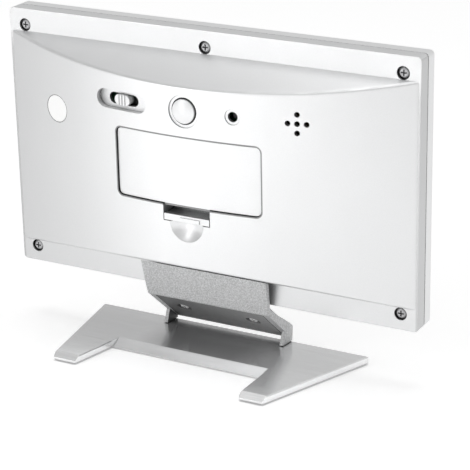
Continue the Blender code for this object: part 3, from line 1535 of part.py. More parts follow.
def latch_pad():
    """Raised grip in the middle of the latch's bar."""
    bottom = LATCH_BOTTOM + GAP + RUNNING_GAP
    back = BULGE_DEPTH - RUNNING_GAP + LATCH_PAD_RISE
    low = (LATCH_PAD_LEFT, back - LATCH_PAD_RISE - GAP, bottom)
    return box(low, (LATCH_PAD_RIGHT, back, bottom + LATCH_PAD_HEIGHT))


# Cells and contacts
def battery_cell(name, direction, z):
    """Cell along X with its nub towards the side given."""
    half = CELL_LENGTH / 2
    shoulder = half - CELL_NUB_HEIGHT
    profile = [
        (0, half),
        (CELL_NUB_RADIUS, half),
        (CELL_NUB_RADIUS, shoulder),
        (CELL_RADIUS - CELL_EDGE, shoulder),
        (CELL_RADIUS, shoulder - CELL_EDGE),
        (CELL_RADIUS, CELL_EDGE - half),
        (CELL_RADIUS - CELL_EDGE, -half),
        (0, -half),
    ]
    made = turned(name, profile, CASE, cell_sleeve(), 24)
    placing = Matrix.Translation((direction * CELL_SHIFT, CELL_Y, z))
    turn = Matrix.Rotation(direction * math.pi / 2, 4, "Y")
    made.matrix_local = placing @ turn
    return made


def contact_x():
    """Distance of the contact plates' middle from the middle of the bay."""
    return BAY_WIDTH / 2 - GAP - CONTACT_THICKNESS / 2


def contact_plate(name, side, bottom, top):
    """Upright plate at one end of the bay."""
    x = side * contact_x()
    half = CONTACT_THICKNESS / 2
    low = (x - half, CONTACT_FRONT, bottom)
    high = (x + half, CONTACT_FRONT + CONTACT_HEIGHT, top)
    return piece(name, box(low, high), CASE, contact_nickel())


def solder_tab(plate_piece, z):
    """Tab that goes through the bay's floor to the main board."""
    x = -contact_x()
    half = CONTACT_THICKNESS / 2
    wide = TAB_WIDTH / 2
    low = (x - half, BOARD_BACK + GAP, z - wide)
    high = (x + half, CONTACT_FRONT + CONTACT_THICKNESS, z + wide)
    join(plate_piece, tool(plate_piece.name + "_tab", box(low, high), CASE))


def dimple(plate_piece, side, z):
    """Raised round button that meets the cell's nub."""
    x = side * (contact_x() - CONTACT_THICKNESS / 2 - DIMPLE_RISE / 2 + CONTACT_THICKNESS / 4)
    shape = bmesh.new()
    placing = Matrix.Translation((x, CELL_Y, z)) @ Matrix.Rotation(-side * math.pi / 2, 4, "Y")
    bmesh.ops.create_cone(
        shape,
        cap_ends=True,
        segments=18,
        radius1=DIMPLE_RADIUS,
        radius2=DIMPLE_RADIUS / 2,
        depth=DIMPLE_RISE + CONTACT_THICKNESS / 2,
        matrix=placing,
    )
    join(plate_piece, tool(plate_piece.name + "_dimple", mesh_of(shape, "dimple"), CASE))


def contact_limits():
    """Bottom, lower split, upper split and top of the contact plates."""
    reach = CONTACT_GROOVE - GAP
    half = CONTACT_SPLIT / 2
    return (BAY_BOTTOM - reach, BAY_MIDDLE - half, BAY_MIDDLE + half, BAY_TOP + reach)


def contacts():
    bottom, lower, upper, top = contact_limits()
    spring_plate = contact_plate("spring_plate", -1, upper, top)
    solder_tab(spring_plate, CELL_TOP_Z)
    button_plate = contact_plate("button_plate", -1, bottom, lower)
    solder_tab(button_plate, CELL_BOTTOM_Z)
    dimple(button_plate, -1, CELL_BOTTOM_Z)
    link_plate = contact_plate("link_plate", 1, bottom, top)
    dimple(link_plate, 1, CELL_TOP_Z)


def spring_points(side):
    """Centre line of a tapering coil, from the plate towards the cell."""
    start = contact_x() - CONTACT_THICKNESS / 2 - GAP - SPRING_WIRE_RADIUS
    count = round(SPRING_TURNS * SPRING_STEPS)
    reach = SPRING_LENGTH - 2 * SPRING_WIRE_RADIUS
    points = []
    for index in range(count + 1):
        share = index / count
        angle = 2 * math.pi * SPRING_TURNS * share
        radius = SPRING_WIDE_RADIUS + (SPRING_NARROW_RADIUS - SPRING_WIDE_RADIUS) * share
        x = side * (start - reach * share)
        points.append(Vector((x, radius * math.cos(angle), radius * math.sin(angle))))
    return points


def least_coil_gap(points):
    """Clear distance between neighbouring curls."""
    least = SPRING_LENGTH
    for index, point in enumerate(points):
        for other in points[index + SPRING_STEPS // 2 + 2:]:
            least = min(least, (point - other).length - 2 * SPRING_WIRE_RADIUS)
    return least


def battery_spring(name, side, z):
    points = spring_points(side)
    curve = bpy.data.curves.new(name, "CURVE")
    curve.dimensions = "3D"
    curve.bevel_depth = SPRING_WIRE_RADIUS
    curve.bevel_resolution = 1
    curve.use_fill_caps = True
    spline = curve.splines.new("POLY")
    spline.points.add(len(points) - 1)
    for knot, point in zip(spline.points, points):
        knot.co = (*point, 1)
    mesh = mesh_of_curve(curve, Matrix.Translation((0, CELL_Y, z)))
    print(name, "least gap between curls in mm", round(least_coil_gap(points) / MM, 2))
    return piece(name, mesh, CASE, spring_steel())


# Neck
def neck_edge():
    """Lower edge of the neck's rear face, where its sloping underside starts."""
    return case_point(NECK_EDGE_BACK, NECK_EDGE_UP)


def underside():
    """Lower front point of the neck's sloping underside, and the directions along and into it."""
    start = Vector((NECK_FRONT + NECK_FLAT, NECK_SLIT))
    along = (neck_edge() - start).normalized()
    return start, along, Vector((-along.y, along.x))


def underside_height(y):
    start, along, _ = underside()
    return start.y + (y - start.x) * along.y / along.x


def neck_outline():
    """Side view of the neck without its cheeks, from the tongue behind the case to past its front."""
    start, _, _ = underside()
    knee = Vector((NECK_FRONT, NECK_KNEE))
    past_knee = knee + (knee - case_point(GAP, -CASE_HEIGHT / 2)).normalized() * PAST
    return [
        case_point(GAP, -CASE_HEIGHT / 2),
        case_point(GAP, bottom_facet(GAP, 0) - GAP),
        case_point(NECK_TOP_BACK, bottom_facet(NECK_TOP_BACK, 0) - GAP),
        neck_edge(),
        start,
        (NECK_FRONT - PAST, NECK_SLIT),
        past_knee,
    ]


def cheeks():
    """Pair of cheeks that carry the neck on the base, with their tops inside the neck, to past its front."""
    foot = Vector((CHEEK_BACK, GAP))
    top = Vector((CHEEK_TOP_BACK, underside_height(CHEEK_TOP_BACK)))
    into = (top - foot).normalized() * CHEEK_THICKNESS / 2
    front = NECK_FRONT - PAST
    points = [foot, top + into, (front, NECK_SLIT + CHEEK_THICKNESS), (front, GAP)]
    low = NECK_HALF - CHEEK_THICKNESS
    high = NECK_HALF_TOP + PAST
    return together(plate(points, low, high, "YZ"), plate(points, -high, -low, "YZ"))


def neck_face():
    """Outline seen from the front: wider at the top, curving in to the sloping part."""
    top = case_point(NECK_TOP_BACK, bottom_facet(NECK_TOP_BACK, 0)).y + PAST
    edge = neck_edge().y - GAP
    right = []
    for index in range(NECK_CURVE_STEPS + 1):
        share = index / NECK_CURVE_STEPS
        half = NECK_HALF + (NECK_HALF_TOP - NECK_HALF) * share ** 0.5
        right.append((half, edge + (top - edge) * share))
    left = [(-across, up) for across, up in reversed(right)]
    return [(NECK_HALF, -PAST), *right, *left, (-NECK_HALF, -PAST)]


def side_notches():
    """Room at both sides between the neck's rear wall and the case, tapering out towards the knee."""
    top = bottom_facet(NECK_TOP_BACK, 0) + PAST
    points = [
        case_point(NECK_NOTCH_TOP, top),
        case_point(NECK_NOTCH_BOTTOM, -CASE_HEIGHT / 2 - NECK_NOTCH_DROP),
        (NECK_FRONT, NECK_KNEE + NECK_NOTCH_STEP),
        (NECK_FRONT - PAST, NECK_KNEE + NECK_NOTCH_STEP),
        case_point(-BULGE_DEPTH, top),
    ]
    low = NECK_HALF - NECK_NOTCH_WIDTH
    high = NECK_HALF_TOP + PAST
    return together(plate(points, low, high, "YZ"), plate(points, -high, -low, "YZ"))


def neck_plate_outline(margin):
    """Side view of the plate that closes the underside, grown by a margin."""
    start, along, inward = underside()
    length = (neck_edge() - start).length
    first = start + along * (NECK_PLATE_FRONT_INSET - margin)
    last = start + along * (length - NECK_PLATE_BACK_INSET + margin)
    depth = inward * (NECK_PLATE_THICKNESS + margin)
    out = inward * (PAST if margin else 0)
    return [first - out, last - out, last + depth, first + depth]


def neck_screw_placing(side, depth):
    """Placing of an axis square to the underside, at a depth below it, with Z pointing out."""
    start, along, inward = underside()
    point = start + along * NECK_SCREW_ALONG + inward * depth
    tilt = math.atan2(along.y, along.x)
    turn = Matrix.Rotation(tilt, 4, "X") @ Matrix.Rotation(math.pi, 4, "X")
    return Matrix.Translation((side * NECK_SCREW_X, point.x, point.y)) @ turn


def neck_bore(name, radius, top, bottom, segments):
    """Pair of bores square to the underside, between two depths."""
    bores = []
    for side in (-1, 1):
        mesh = rod(radius, -(bottom - top) / 2, (bottom - top) / 2, "Z", (0, 0, 0), segments)
        mesh.transform(neck_screw_placing(side, (top + bottom) / 2))
        bores.append(mesh)
    return tool(name, together(*bores), STAND)


def neck_shell():
    half = NECK_HALF_TOP + PAST
    shell = piece("neck_shell", plate(neck_outline(), -half, half, "YZ"), STAND, neck_paint())
    join(shell, tool("cheeks", cheeks(), STAND))
    face = plate(neck_face(), NECK_FRONT, BASE_BACK, "XZ")
    trim(shell, tool("neck_face", face, STAND))
    half = NECK_PLATE_HALF + GAP
    recess = plate(neck_plate_outline(GAP), -half, half, "YZ")
    cut(shell, tool("side_notches", side_notches(), STAND), tool("neck_recess", recess, STAND))
    top = NECK_PLATE_THICKNESS
    cut(shell, neck_bore("neck_pilots", PILOT_RADIUS, top, top + GAP + NECK_PILOT_DEPTH, SCREW_SEGMENTS))
    pilots = []
    for side in (-1, 1):
        place = (side * TONGUE_SCREW_X, 0, TONGUE_SCREW_Z)
        depth = TONGUE_PILOT_DEPTH + GAP
        pilots.append(rod(PILOT_RADIUS, -PAST, depth, "Y", place, SCREW_SEGMENTS))
    cut(shell, tool("tongue_pilots", together(*pilots), CASE))
    outer = NECK_HALF - (CHEEK_THICKNESS - FOOT_TAB_THICKNESS) / 2
    inner = outer - FOOT_TAB_THICKNESS
    tabs = []
    for left in (-outer, inner):
        low = (left, FOOT_TAB_FRONT, -FOOT_TAB_DROP)
        tabs.append(box(low, (left + FOOT_TAB_THICKNESS, FOOT_TAB_BACK, GAP + PAST / 2)))
    join(shell, tool("foot_tabs", together(*tabs), STAND))
    return shell


def neck_plate():
    mesh = plate(neck_plate_outline(0), -NECK_PLATE_HALF, NECK_PLATE_HALF, "YZ")
    made = piece("neck_plate", mesh, STAND, neck_paint())
    cut(made, neck_bore("neck_wells", NECK_WELL_RADIUS, -PAST, NECK_WELL_DEPTH, 24))
    cut(made, neck_bore("neck_holes", CLEAR_RADIUS, 0, NECK_PLATE_THICKNESS + PAST, SCREW_SEGMENTS))
    return made


def neck_screws():
    top = NECK_WELL_DEPTH - GAP - NECK_HEAD_HEIGHT
    for name, side in (("left", 1), ("right", -1)):
        placing = neck_screw_placing(side, top)
        screw("neck_screw_" + name, HEAD_RADIUS, NECK_HEAD_HEIGHT, NECK_SCREW_LENGTH, STAND, placing)


# Base
def base_half(y):
    """Half-width of the base's outer sides at a distance from the case's rim."""
    share = (y - BASE_FRONT) / (BASE_BACK - BASE_FRONT)
    return BASE_FRONT_HALF + (BASE_TIP_HALF - BASE_FRONT_HALF) * share


def notch_half(y):
    """Half-width between the legs."""
    share = (y - NOTCH_Y) / (BASE_BACK - NOTCH_Y)
    return NOTCH_HALF + (TIP_INNER_HALF - NOTCH_HALF) * share


def base():
    outline = mirrored([
        (base_half(BASE_FRONT), BASE_FRONT),
        (base_half(BASE_BACK), BASE_BACK),
        (notch_half(BASE_BACK), BASE_BACK),
        (notch_half(NOTCH_FLOOR_Y), NOTCH_FLOOR_Y),
    ])
    made = piece("base", plate(outline, -BASE_THICKNESS, 0, "XY"), STAND, base_gloss())
    bevel(made, BASE_EDGE, 3)
    cut(made, tip_bevels(), notch_bevel())
    pocket = plate(weight_outline(GAP), -BASE_THICKNESS - PAST, weight_top() + GAP, "XY")
    cut(made, tool("weight_pocket", pocket, STAND))
    recesses = [
        rod(FOOT_RADIUS + RUNNING_GAP, -BASE_THICKNESS - PAST, foot_top() + GAP, "Z", (x, y, 0), 28)
        for _, x, y in foot_places()
    ]
    cut(made, tool("foot_recesses", together(*recesses), STAND))
    outer = NECK_HALF + GAP
    inner = NECK_HALF - CHEEK_THICKNESS - GAP
    slots = [
        box((low, FOOT_TAB_FRONT - GAP, weight_top()), (low + outer - inner, FOOT_TAB_BACK + GAP, PAST))
        for low in (-outer, inner)
    ]
    cut(made, tool("tab_slots", together(*slots), STAND))
    return made


def tip_bevels():
    """Slope at the end of both legs."""
    start = BASE_BACK - TIP_BEVEL_LENGTH
    points = [
        (start, 0),
        (BASE_BACK, -TIP_BEVEL_DROP),
        (BASE_BACK + PAST, -TIP_BEVEL_DROP),
        (BASE_BACK + PAST, PAST),
        (start, PAST),
    ]
    return tool("tip_bevels", plate(points, -BASE_FRONT_HALF, BASE_FRONT_HALF, "YZ"), STAND)


def notch_bevel():
    """Slope between the legs, from the top down to the underside."""
    points = [
        (NOTCH_Y, 0),
        (NOTCH_FLOOR_Y, -BASE_THICKNESS),
        (NOTCH_FLOOR_Y + PAST, -BASE_THICKNESS),
        (NOTCH_FLOOR_Y + PAST, PAST),
        (NOTCH_Y, PAST),
    ]
    made = tool("notch_bevel", plate(points, -BASE_FRONT_HALF, BASE_FRONT_HALF, "YZ"), STAND)
    ends = (NOTCH_Y - PAST, NOTCH_FLOOR_Y + 2 * PAST)
    outline = mirrored([(notch_half(y), y) for y in ends])
    trim(made, tool("notch_sides", plate(outline, -2 * BASE_THICKNESS, 2 * PAST, "XY"), STAND))
    return made


def weight_top():
    return WEIGHT_SINK + WEIGHT_THICKNESS - BASE_THICKNESS


def weight_outline(margin):
    return mirrored([
        (WEIGHT_FRONT_HALF + margin, WEIGHT_FRONT - margin),
        (WEIGHT_BACK_HALF + margin, WEIGHT_BACK + margin),
    ])


def base_weight():
    mesh = plate(weight_outline(0), weight_top() - WEIGHT_THICKNESS, weight_top(), "XY")
    return piece("base_weight", mesh, STAND, weight_steel())


def foot_places():
    return (
        ("front_left", FOOT_FRONT_X, FOOT_FRONT_Y),
        ("front_right", -FOOT_FRONT_X, FOOT_FRONT_Y),
        ("back_left", FOOT_BACK_X, FOOT_BACK_Y),
        ("back_right", -FOOT_BACK_X, FOOT_BACK_Y),
    )


def foot_top():
    return FOOT_THICKNESS - FOOT_PROUD - BASE_THICKNESS


def feet():
    edge = FOOT_PROUD / 2
    profile = [
        (0, 0),
        (FOOT_RADIUS, 0),
        (FOOT_RADIUS, edge - FOOT_THICKNESS),
        (FOOT_RADIUS - edge, -FOOT_THICKNESS),
        (0, -FOOT_THICKNESS),
    ]
    for name, x, y in foot_places():
        made = turned("foot_" + name, profile, STAND, foot_rubber(), 24)
        made.location = (x, y, foot_top())


def build():
    clear_scene()
    new_collection(PIECES, False)
    new_collection(TOOLS, True)
    new_frame(CASE, (0, CASE_Y, BASE_TOP + RIM_ABOVE_BASE), LEAN)
    new_frame(STAND, (0, CASE_Y, BASE_TOP), 0)
    rear_shell()
    front_frame()
    case_screws()
    display_window()
    display_panel()
    connector_strip()
    light_guide()
    light_diode()
    main_board()
    main_board_screws()
    chip()
    crystal()
    control_board()
    control_board_screws()
    board_ribbon()
    for name, x in key_places():
        move_origin(set_key(name, x), (x, FRONT, KEY_Z))
        key_switch(name, x)
    slide_knob()
    slide_lever()
    slide_switch()
    snooze_button()
    snooze_plunger()
    snooze_switch()
    reset_switch()
    reset_plunger()
    buzzer()
    sticker()
    move_origin(battery_door(), door_pivot())
    battery_cell("battery_cell_upper", 1, CELL_TOP_Z)
    battery_cell("battery_cell_lower", -1, CELL_BOTTOM_Z)
    contacts()
    battery_spring("battery_spring_upper", -1, CELL_TOP_Z)
    battery_spring("battery_spring_lower", 1, CELL_BOTTOM_Z)
    neck_shell()
    neck_plate()
    neck_screws()
    tongue_screws()
    base()
    base_weight()
    feet()


build()
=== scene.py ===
"""Looks of the digital alarm clock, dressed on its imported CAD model."""
import json
import math

import bmesh
import bpy
from mathutils import Matrix, Vector

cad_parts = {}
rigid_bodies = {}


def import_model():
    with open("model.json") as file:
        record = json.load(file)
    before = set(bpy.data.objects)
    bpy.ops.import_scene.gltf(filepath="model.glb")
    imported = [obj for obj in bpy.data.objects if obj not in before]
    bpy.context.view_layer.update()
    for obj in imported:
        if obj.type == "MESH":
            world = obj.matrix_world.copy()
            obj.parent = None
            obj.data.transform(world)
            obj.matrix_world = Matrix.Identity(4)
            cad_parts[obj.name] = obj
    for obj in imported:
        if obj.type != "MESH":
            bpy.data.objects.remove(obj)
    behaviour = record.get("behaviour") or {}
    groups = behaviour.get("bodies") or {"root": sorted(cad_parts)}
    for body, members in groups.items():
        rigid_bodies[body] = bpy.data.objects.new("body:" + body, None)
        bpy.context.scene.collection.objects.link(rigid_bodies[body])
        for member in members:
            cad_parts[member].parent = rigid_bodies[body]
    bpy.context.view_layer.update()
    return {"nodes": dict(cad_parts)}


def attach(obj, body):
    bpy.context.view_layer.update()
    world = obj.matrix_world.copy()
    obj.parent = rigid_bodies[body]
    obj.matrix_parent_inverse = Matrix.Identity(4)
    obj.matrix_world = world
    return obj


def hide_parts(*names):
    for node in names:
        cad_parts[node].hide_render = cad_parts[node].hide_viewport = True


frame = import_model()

MM = 0.001
CLOCK = "clock"

# The case's frame: X along its width, Y out of its back from the plane of its rear rim, Z up along it
LEAN = math.radians(4.57)
CASE_PLACE = (0, -7.125 * MM, 71.45 * MM)
CASE = Matrix.Translation(CASE_PLACE) @ Matrix.Rotation(-LEAN, 4, "X")
UNCASE = CASE.inverted()

# Lines of the case that pieces and shades are placed by
BULGE_RADIUS = 219.66 * MM
BULGE_DEPTH = 16.0 * MM
FRONT = -10.7 * MM
WINDOW_THICKNESS = 1.1 * MM
WINDOW_BACK = FRONT + WINDOW_THICKNESS
WINDOW_Z = 6.0 * MM
PANEL_FRONT = -8.0 * MM
DOOR_WIDTH = 58.3 * MM
DOOR_TOP = 14.8 * MM
DOOR_BOTTOM = -10.8 * MM
DOOR_CORNER = 2.1 * MM


# Node trees
def add(tree, kind, inputs, **settings):
    """Adds a shader node; an input is a value or another node's output."""
    made = tree.nodes.new("ShaderNode" + kind)
    for key, value in settings.items():
        setattr(made, key, value)
    for key, value in inputs.items():
        if isinstance(value, bpy.types.NodeSocket):
            tree.links.new(value, made.inputs[key])
        else:
            made.inputs[key].default_value = value
    return made


def new_material(name):
    """A material with its tree, its shader and the place of each point, which is its place at rest."""
    made = bpy.data.materials.new(name)
    made.use_nodes = True
    tree = made.node_tree
    shader = tree.nodes["Principled BSDF"]
    coords = add(tree, "TexCoord", {}).outputs["Object"]
    return made, tree, shader, coords


def noise(tree, coords, size, detail=3.0, roughness=0.55):
    """Noise whose patches have about a size in metres."""
    inputs = {"Vector": coords, "Scale": 1 / size, "Detail": detail, "Roughness": roughness}
    return add(tree, "TexNoise", inputs).outputs["Fac"]


def spread(tree, value, low, high, start=0.3, end=0.7):
    """From low to high while a value goes from start to end, and level beyond both."""
    inputs = {"Value": value, "From Min": start, "From Max": end, "To Min": low, "To Max": high}
    return add(tree, "MapRange", inputs).outputs["Result"]


def rise(tree, value, start, end):
    return spread(tree, value, 0.0, 1.0, start, end)


def fall(tree, value, start, end):
    return spread(tree, value, 1.0, 0.0, start, end)


def calc(tree, operation, first, second=0.0):
    return add(tree, "Math", {0: first, 1: second}, operation=operation).outputs["Value"]


def split(tree, vector):
    """Parts of a vector, by the names X, Y and Z."""
    return add(tree, "SeparateXYZ", {0: vector}).outputs


def surface_normal(tree):
    return add(tree, "NewGeometry", {}).outputs["Normal"]


def along(tree, vector, way):
    """Length of a vector along a way."""
    inputs = {0: vector, 1: tuple(way)}
    return add(tree, "VectorMath", inputs, operation="DOT_PRODUCT").outputs["Value"]


def case_place(tree, coords, axis):
    """Place of a point along an axis of the case's frame."""
    return calc(tree, "ADD", along(tree, coords, UNCASE.to_3x3()[axis]), UNCASE.translation[axis])


def stretched(tree, coords, scale):
    """Coordinates that draw a noise out into lines along X."""
    return add(tree, "Mapping", {"Vector": coords, "Scale": (scale, 1.0, 1.0)}).outputs["Vector"]


def tones(tree, value, *stops):
    """Colour along a ramp; each stop is a place and a colour."""
    ramp = add(tree, "ValToRGB", {"Fac": value})
    bar = ramp.color_ramp
    for index, (place, colour) in enumerate(stops):
        stop = bar.elements[index] if index < 2 else bar.elements.new(place)
        stop.position = place
        stop.color = (*colour, 1)
    return ramp.outputs["Color"]


def shares(tree, value, *stops):
    """Share of a colour along a ramp; each stop is a place and a share."""
    return tones(tree, value, *((place, (share,) * 3) for place, share in stops))


def grey(share):
    return (share, share, share, 1)


def blend(tree, kind, factor, first, second):
    made = tree.nodes.new("ShaderNodeMix")
    made.data_type = "RGBA"
    made.blend_type = kind
    for key, value in ((0, factor), (6, first), (7, second)):
        if isinstance(value, bpy.types.NodeSocket):
            tree.links.new(value, made.inputs[key])
        else:
            made.inputs[key].default_value = value
    return made.outputs[2]


def times(tree, first, second):
    return blend(tree, "MULTIPLY", 1.0, first, second)


def shaded(colour, share):
    return tuple(min(1.0, part * share) for part in colour)


def edges(tree, radius):
    """Normal that rounds the edges of a piece by a small radius."""
    return add(tree, "Bevel", {"Radius": radius}, samples=6).outputs["Normal"]


def bump(tree, height, distance, normal):
    inputs = {"Height": height, "Distance": distance, "Strength": 1.0, "Normal": normal}
    return add(tree, "Bump", inputs).outputs["Normal"]


# Painted shade in gaps and pockets, where shade falls: how far round a point they are looked for, and how
# open it is where each painted shade is darkest and where it ends
GAP_REACH = 0.9 * MM
GAP_OPEN = (0.4, 0.72)
POCKET_REACH = 6 * MM
POCKET_OPEN = (0.1, 0.45)


def painted_hollow_shade(tree, dark):
    """Painted shade: the share of the colour that is left in narrow gaps and in deep pockets."""
    left = []
    for reach, span in ((GAP_REACH, GAP_OPEN), (POCKET_REACH, POCKET_OPEN)):
        openness = add(tree, "AmbientOcclusion", {"Distance": reach}, samples=4).outputs["AO"]
        left.append(shares(tree, rise(tree, openness, *span), (0.0, dark), (1.0, 1.0)))
    return times(tree, *left)


INPUT_NAMES = {
    "colour": "Base Color",
    "roughness": "Roughness",
    "metallic": "Metallic",
    "normal": "Normal",
    "coat": "Coat Weight",
    "coat_roughness": "Coat Roughness",
    "specular": "Specular IOR Level",
    "subsurface": "Subsurface Weight",
}


def set_inputs(tree, shader, **inputs):
    """Sets or links the shader's inputs, by the short names above."""
    for key, value in inputs.items():
        socket = shader.inputs[INPUT_NAMES[key]]
        if isinstance(value, bpy.types.NodeSocket):
            tree.links.new(value, socket)
        else:
            socket.default_value = value


# Sizes of the patches, handling marks and dull spots, the stretch of the scratches, and what is left of
# the colour in dull spots and scratches
PATCH_SIZE = 55 * MM
HANDLED_SIZE = 14 * MM
DULL_SIZE = 3 * MM
DULL_SHARE = 0.86
SCRATCH_SCALE = 0.08
SCRATCH_SHARE = 0.93


def paint(
    name, colour, patch, speckle, speckle_size, rough, grain_size, grain_depth, edge,
    dark=0.1, mask=None, **more,
):
    """Painted or moulded surface: slow patches and fine speckle in its colour, painted shade in its
    crevices, and a grain that catches light. Patch and speckle are what they take from the colour, dark is
    the share of it that is left in the painted shade of crevices, and a mask is a function that gives its
    share over the piece, which paints shade on it. Sizes are in metres, and edge is the radius that its
    edges are rounded by."""
    made, tree, shader, coords = new_material(name)
    slow = noise(tree, coords, PATCH_SIZE, 2.0)
    base = tones(tree, slow, (0.35, shaded(colour, 1 - patch)), (0.65, colour))
    fine = noise(tree, coords, speckle_size, 2.0, 0.6)
    mixed = times(tree, base, shares(tree, fine, (0.32, 1 - speckle), (0.68, 1.0)))
    # Painted shade in gaps and pockets
    if dark < 1:
        mixed = times(tree, mixed, painted_hollow_shade(tree, dark))
    # Painted shade over the piece from its mask; on the base, brushed streaks too
    if mask:
        mixed = times(tree, mixed, mask(tree, coords))
    handled = noise(tree, coords, HANDLED_SIZE, 4.0, 0.6)
    grain = noise(tree, coords, grain_size)
    set_inputs(
        tree,
        shader,
        colour=mixed,
        roughness=spread(tree, handled, *rough),
        normal=bump(tree, grain, grain_depth, edges(tree, edge)),
        **more,
    )
    return made


def metal(name, colour, rough, scratch_size, scratch_depth, edge, dark=0.15, mask=None):
    """Bare metal with fine scratches along one way and dull patches; dark and mask are as for paint."""
    made, tree, shader, coords = new_material(name)
    lines = noise(tree, stretched(tree, coords, SCRATCH_SCALE), scratch_size, 3.0, 0.6)
    dull = noise(tree, coords, DULL_SIZE, 4.0, 0.6)
    base = tones(tree, dull, (0.3, shaded(colour, DULL_SHARE)), (0.7, colour))
    streaks = shares(tree, lines, (0.3, SCRATCH_SHARE), (0.7, 1.0))
    # Painted shade in gaps and pockets
    if dark < 1:
        base = times(tree, base, painted_hollow_shade(tree, dark))
    # Painted shade over the piece from its mask
    if mask:
        base = times(tree, base, mask(tree, coords))
    set_inputs(
        tree,
        shader,
        colour=times(tree, base, streaks),
        metallic=1.0,
        roughness=spread(tree, dull, *rough),
        normal=bump(tree, lines, scratch_depth, edges(tree, edge)),
    )
    return made


# Painted shade on the silver paint. A pair is where a painted shade begins and ends: a place in the case's
# frame, or a part of the normal. The ends' stops run from one side of the case to the other.
ENDS_REACH = 80 * MM
ENDS_STOPS = ((0.0, 0.88), (1.0, 0.74), (0.3, 0.91), (0.56, 1.0), (0.8, 0.83))
STRIP_SHARE = 0.88
STRIP_FOOT = (34 * MM, 41 * MM)
STRIP_STEP = (0.1 * MM, 0.5 * MM)
FACET_SHARE = 0.9
UPWARD = (0.15, 0.3)
SIDE_SHARE = 0.77
SIDEWAYS = (0.75, 0.9)
RIM_SHARE = 0.78
RIM_EDGE = (81.4 * MM, 81.9 * MM)
# Painted shadow along the gap round the battery door: its share, its middle's distance out from the door's
# edge, and where it fades
LINE_SHARE = 0.3
LINE_OUT = 0.15 * MM
LINE_EDGE = (0.2 * MM, 0.42 * MM)


def painted_door_gap_shadow(tree, coords):
    """Painted shadow along the thin gap round the battery door."""
    middle = (DOOR_TOP + DOOR_BOTTOM) / 2
    across = calc(tree, "ABSOLUTE", case_place(tree, coords, 0))
    up = calc(tree, "ABSOLUTE", calc(tree, "SUBTRACT", case_place(tree, coords, 2), middle))
    beyond = []
    for place, half in ((across, DOOR_WIDTH / 2), (up, (DOOR_TOP - DOOR_BOTTOM) / 2)):
        rest = calc(tree, "MAXIMUM", calc(tree, "SUBTRACT", place, half - DOOR_CORNER))
        beyond.append(calc(tree, "MULTIPLY", rest, rest))
    reach = calc(tree, "SQRT", calc(tree, "ADD", *beyond))
    off = calc(tree, "ABSOLUTE", calc(tree, "SUBTRACT", reach, DOOR_CORNER + LINE_OUT))
    return shares(tree, rise(tree, off, *LINE_EDGE), (0.0, LINE_SHARE), (1.0, 1.0))


def painted_back_shade(tree, coords):
    """Painted shade: a little darker towards the ends of the curved back, down its facet, on its top strip
    and outer rim, on the case's sides, and with a painted shadow along the gap round the battery door."""
    normal = split(tree, surface_normal(tree))
    across, behind, up = (case_place(tree, coords, axis) for axis in range(3))
    ends = shares(tree, rise(tree, across, -ENDS_REACH, ENDS_REACH), *ENDS_STOPS)
    off_strip = calc(tree, "MAXIMUM", fall(tree, up, *STRIP_FOOT), rise(tree, behind, *STRIP_STEP))
    facing = calc(tree, "MULTIPLY", off_strip, fall(tree, normal["Z"], *UPWARD))
    share = blend(tree, "MIX", facing, grey(STRIP_SHARE), ends)
    side = rise(tree, calc(tree, "ABSOLUTE", normal["X"]), *SIDEWAYS)
    rim = rise(tree, calc(tree, "ABSOLUTE", across), *RIM_EDGE)
    rim = calc(tree, "MULTIPLY", rim, off_strip)
    rim = calc(tree, "MULTIPLY", rim, calc(tree, "SUBTRACT", 1.0, side))
    share = blend(tree, "MULTIPLY", rim, share, grey(RIM_SHARE))
    facet = shares(tree, rise(tree, behind, 0, BULGE_DEPTH), (0.0, 1.0), (1.0, FACET_SHARE))
    share = blend(tree, "MIX", rise(tree, normal["Z"], *UPWARD), share, facet)
    share = blend(tree, "MULTIPLY", side, share, grey(SIDE_SHARE))
    return times(tree, share, painted_door_gap_shadow(tree, coords))


# Painted shade on smaller pieces. A cheek's pair is its place across times how far its normal leans that
# way.
CHEEK_SHARE = 0.14
CHEEK_INWARD = (-14 * MM, -6 * MM)
PLATE_SHARE = 0.42
PLATE_X = (-22 * MM, 22 * MM)
FLANGE_SHARE = 0.03
FLANGE_Y = (10.2 * MM, 12.0 * MM)
RECESS_SHARE = 0.2
RECESS_Y = (-0.8 * MM, -0.55 * MM)
BUZZER_SHARE = 0.04
BUZZER_TURNED = (0.4, 0.6)


def painted_cheek_shade(tree, coords):
    """Painted shade on the sides of the neck's cheeks that face each other."""
    sideways = split(tree, surface_normal(tree))["X"]
    outward = calc(tree, "MULTIPLY", sideways, split(tree, coords)["X"])
    return shares(tree, rise(tree, outward, *CHEEK_INWARD), (0.0, CHEEK_SHARE), (1.0, 1.0))


def painted_plate_shade(tree, coords):
    """Painted shade: darker towards one end."""
    across = rise(tree, split(tree, coords)["X"], *PLATE_X)
    return shares(tree, across, (0.0, 1.0), (1.0, PLATE_SHARE))


def painted_slot_shade(tree, coords):
    """Painted shade on the flange under the slot; the knob keeps its pale colour."""
    out = rise(tree, case_place(tree, coords, 1), *FLANGE_Y)
    return shares(tree, out, (0.0, FLANGE_SHARE), (1.0, 1.0))


def screw_recess_painted_shade(tree, coords):
    """Painted shade down in the cross recess of the case's screws."""
    out = rise(tree, case_place(tree, coords, 1), *RECESS_Y)
    return shares(tree, out, (0.0, RECESS_SHARE), (1.0, 1.0))


def painted_hole_shade(tree, coords):
    """Painted shade on the side that faces out of the case's back, so that the sound holes look black."""
    turned = along(tree, surface_normal(tree), UNCASE.to_3x3()[1])
    start, end = BUZZER_TURNED
    return shares(tree, turned, (start, 1.0), (end, BUZZER_SHARE))


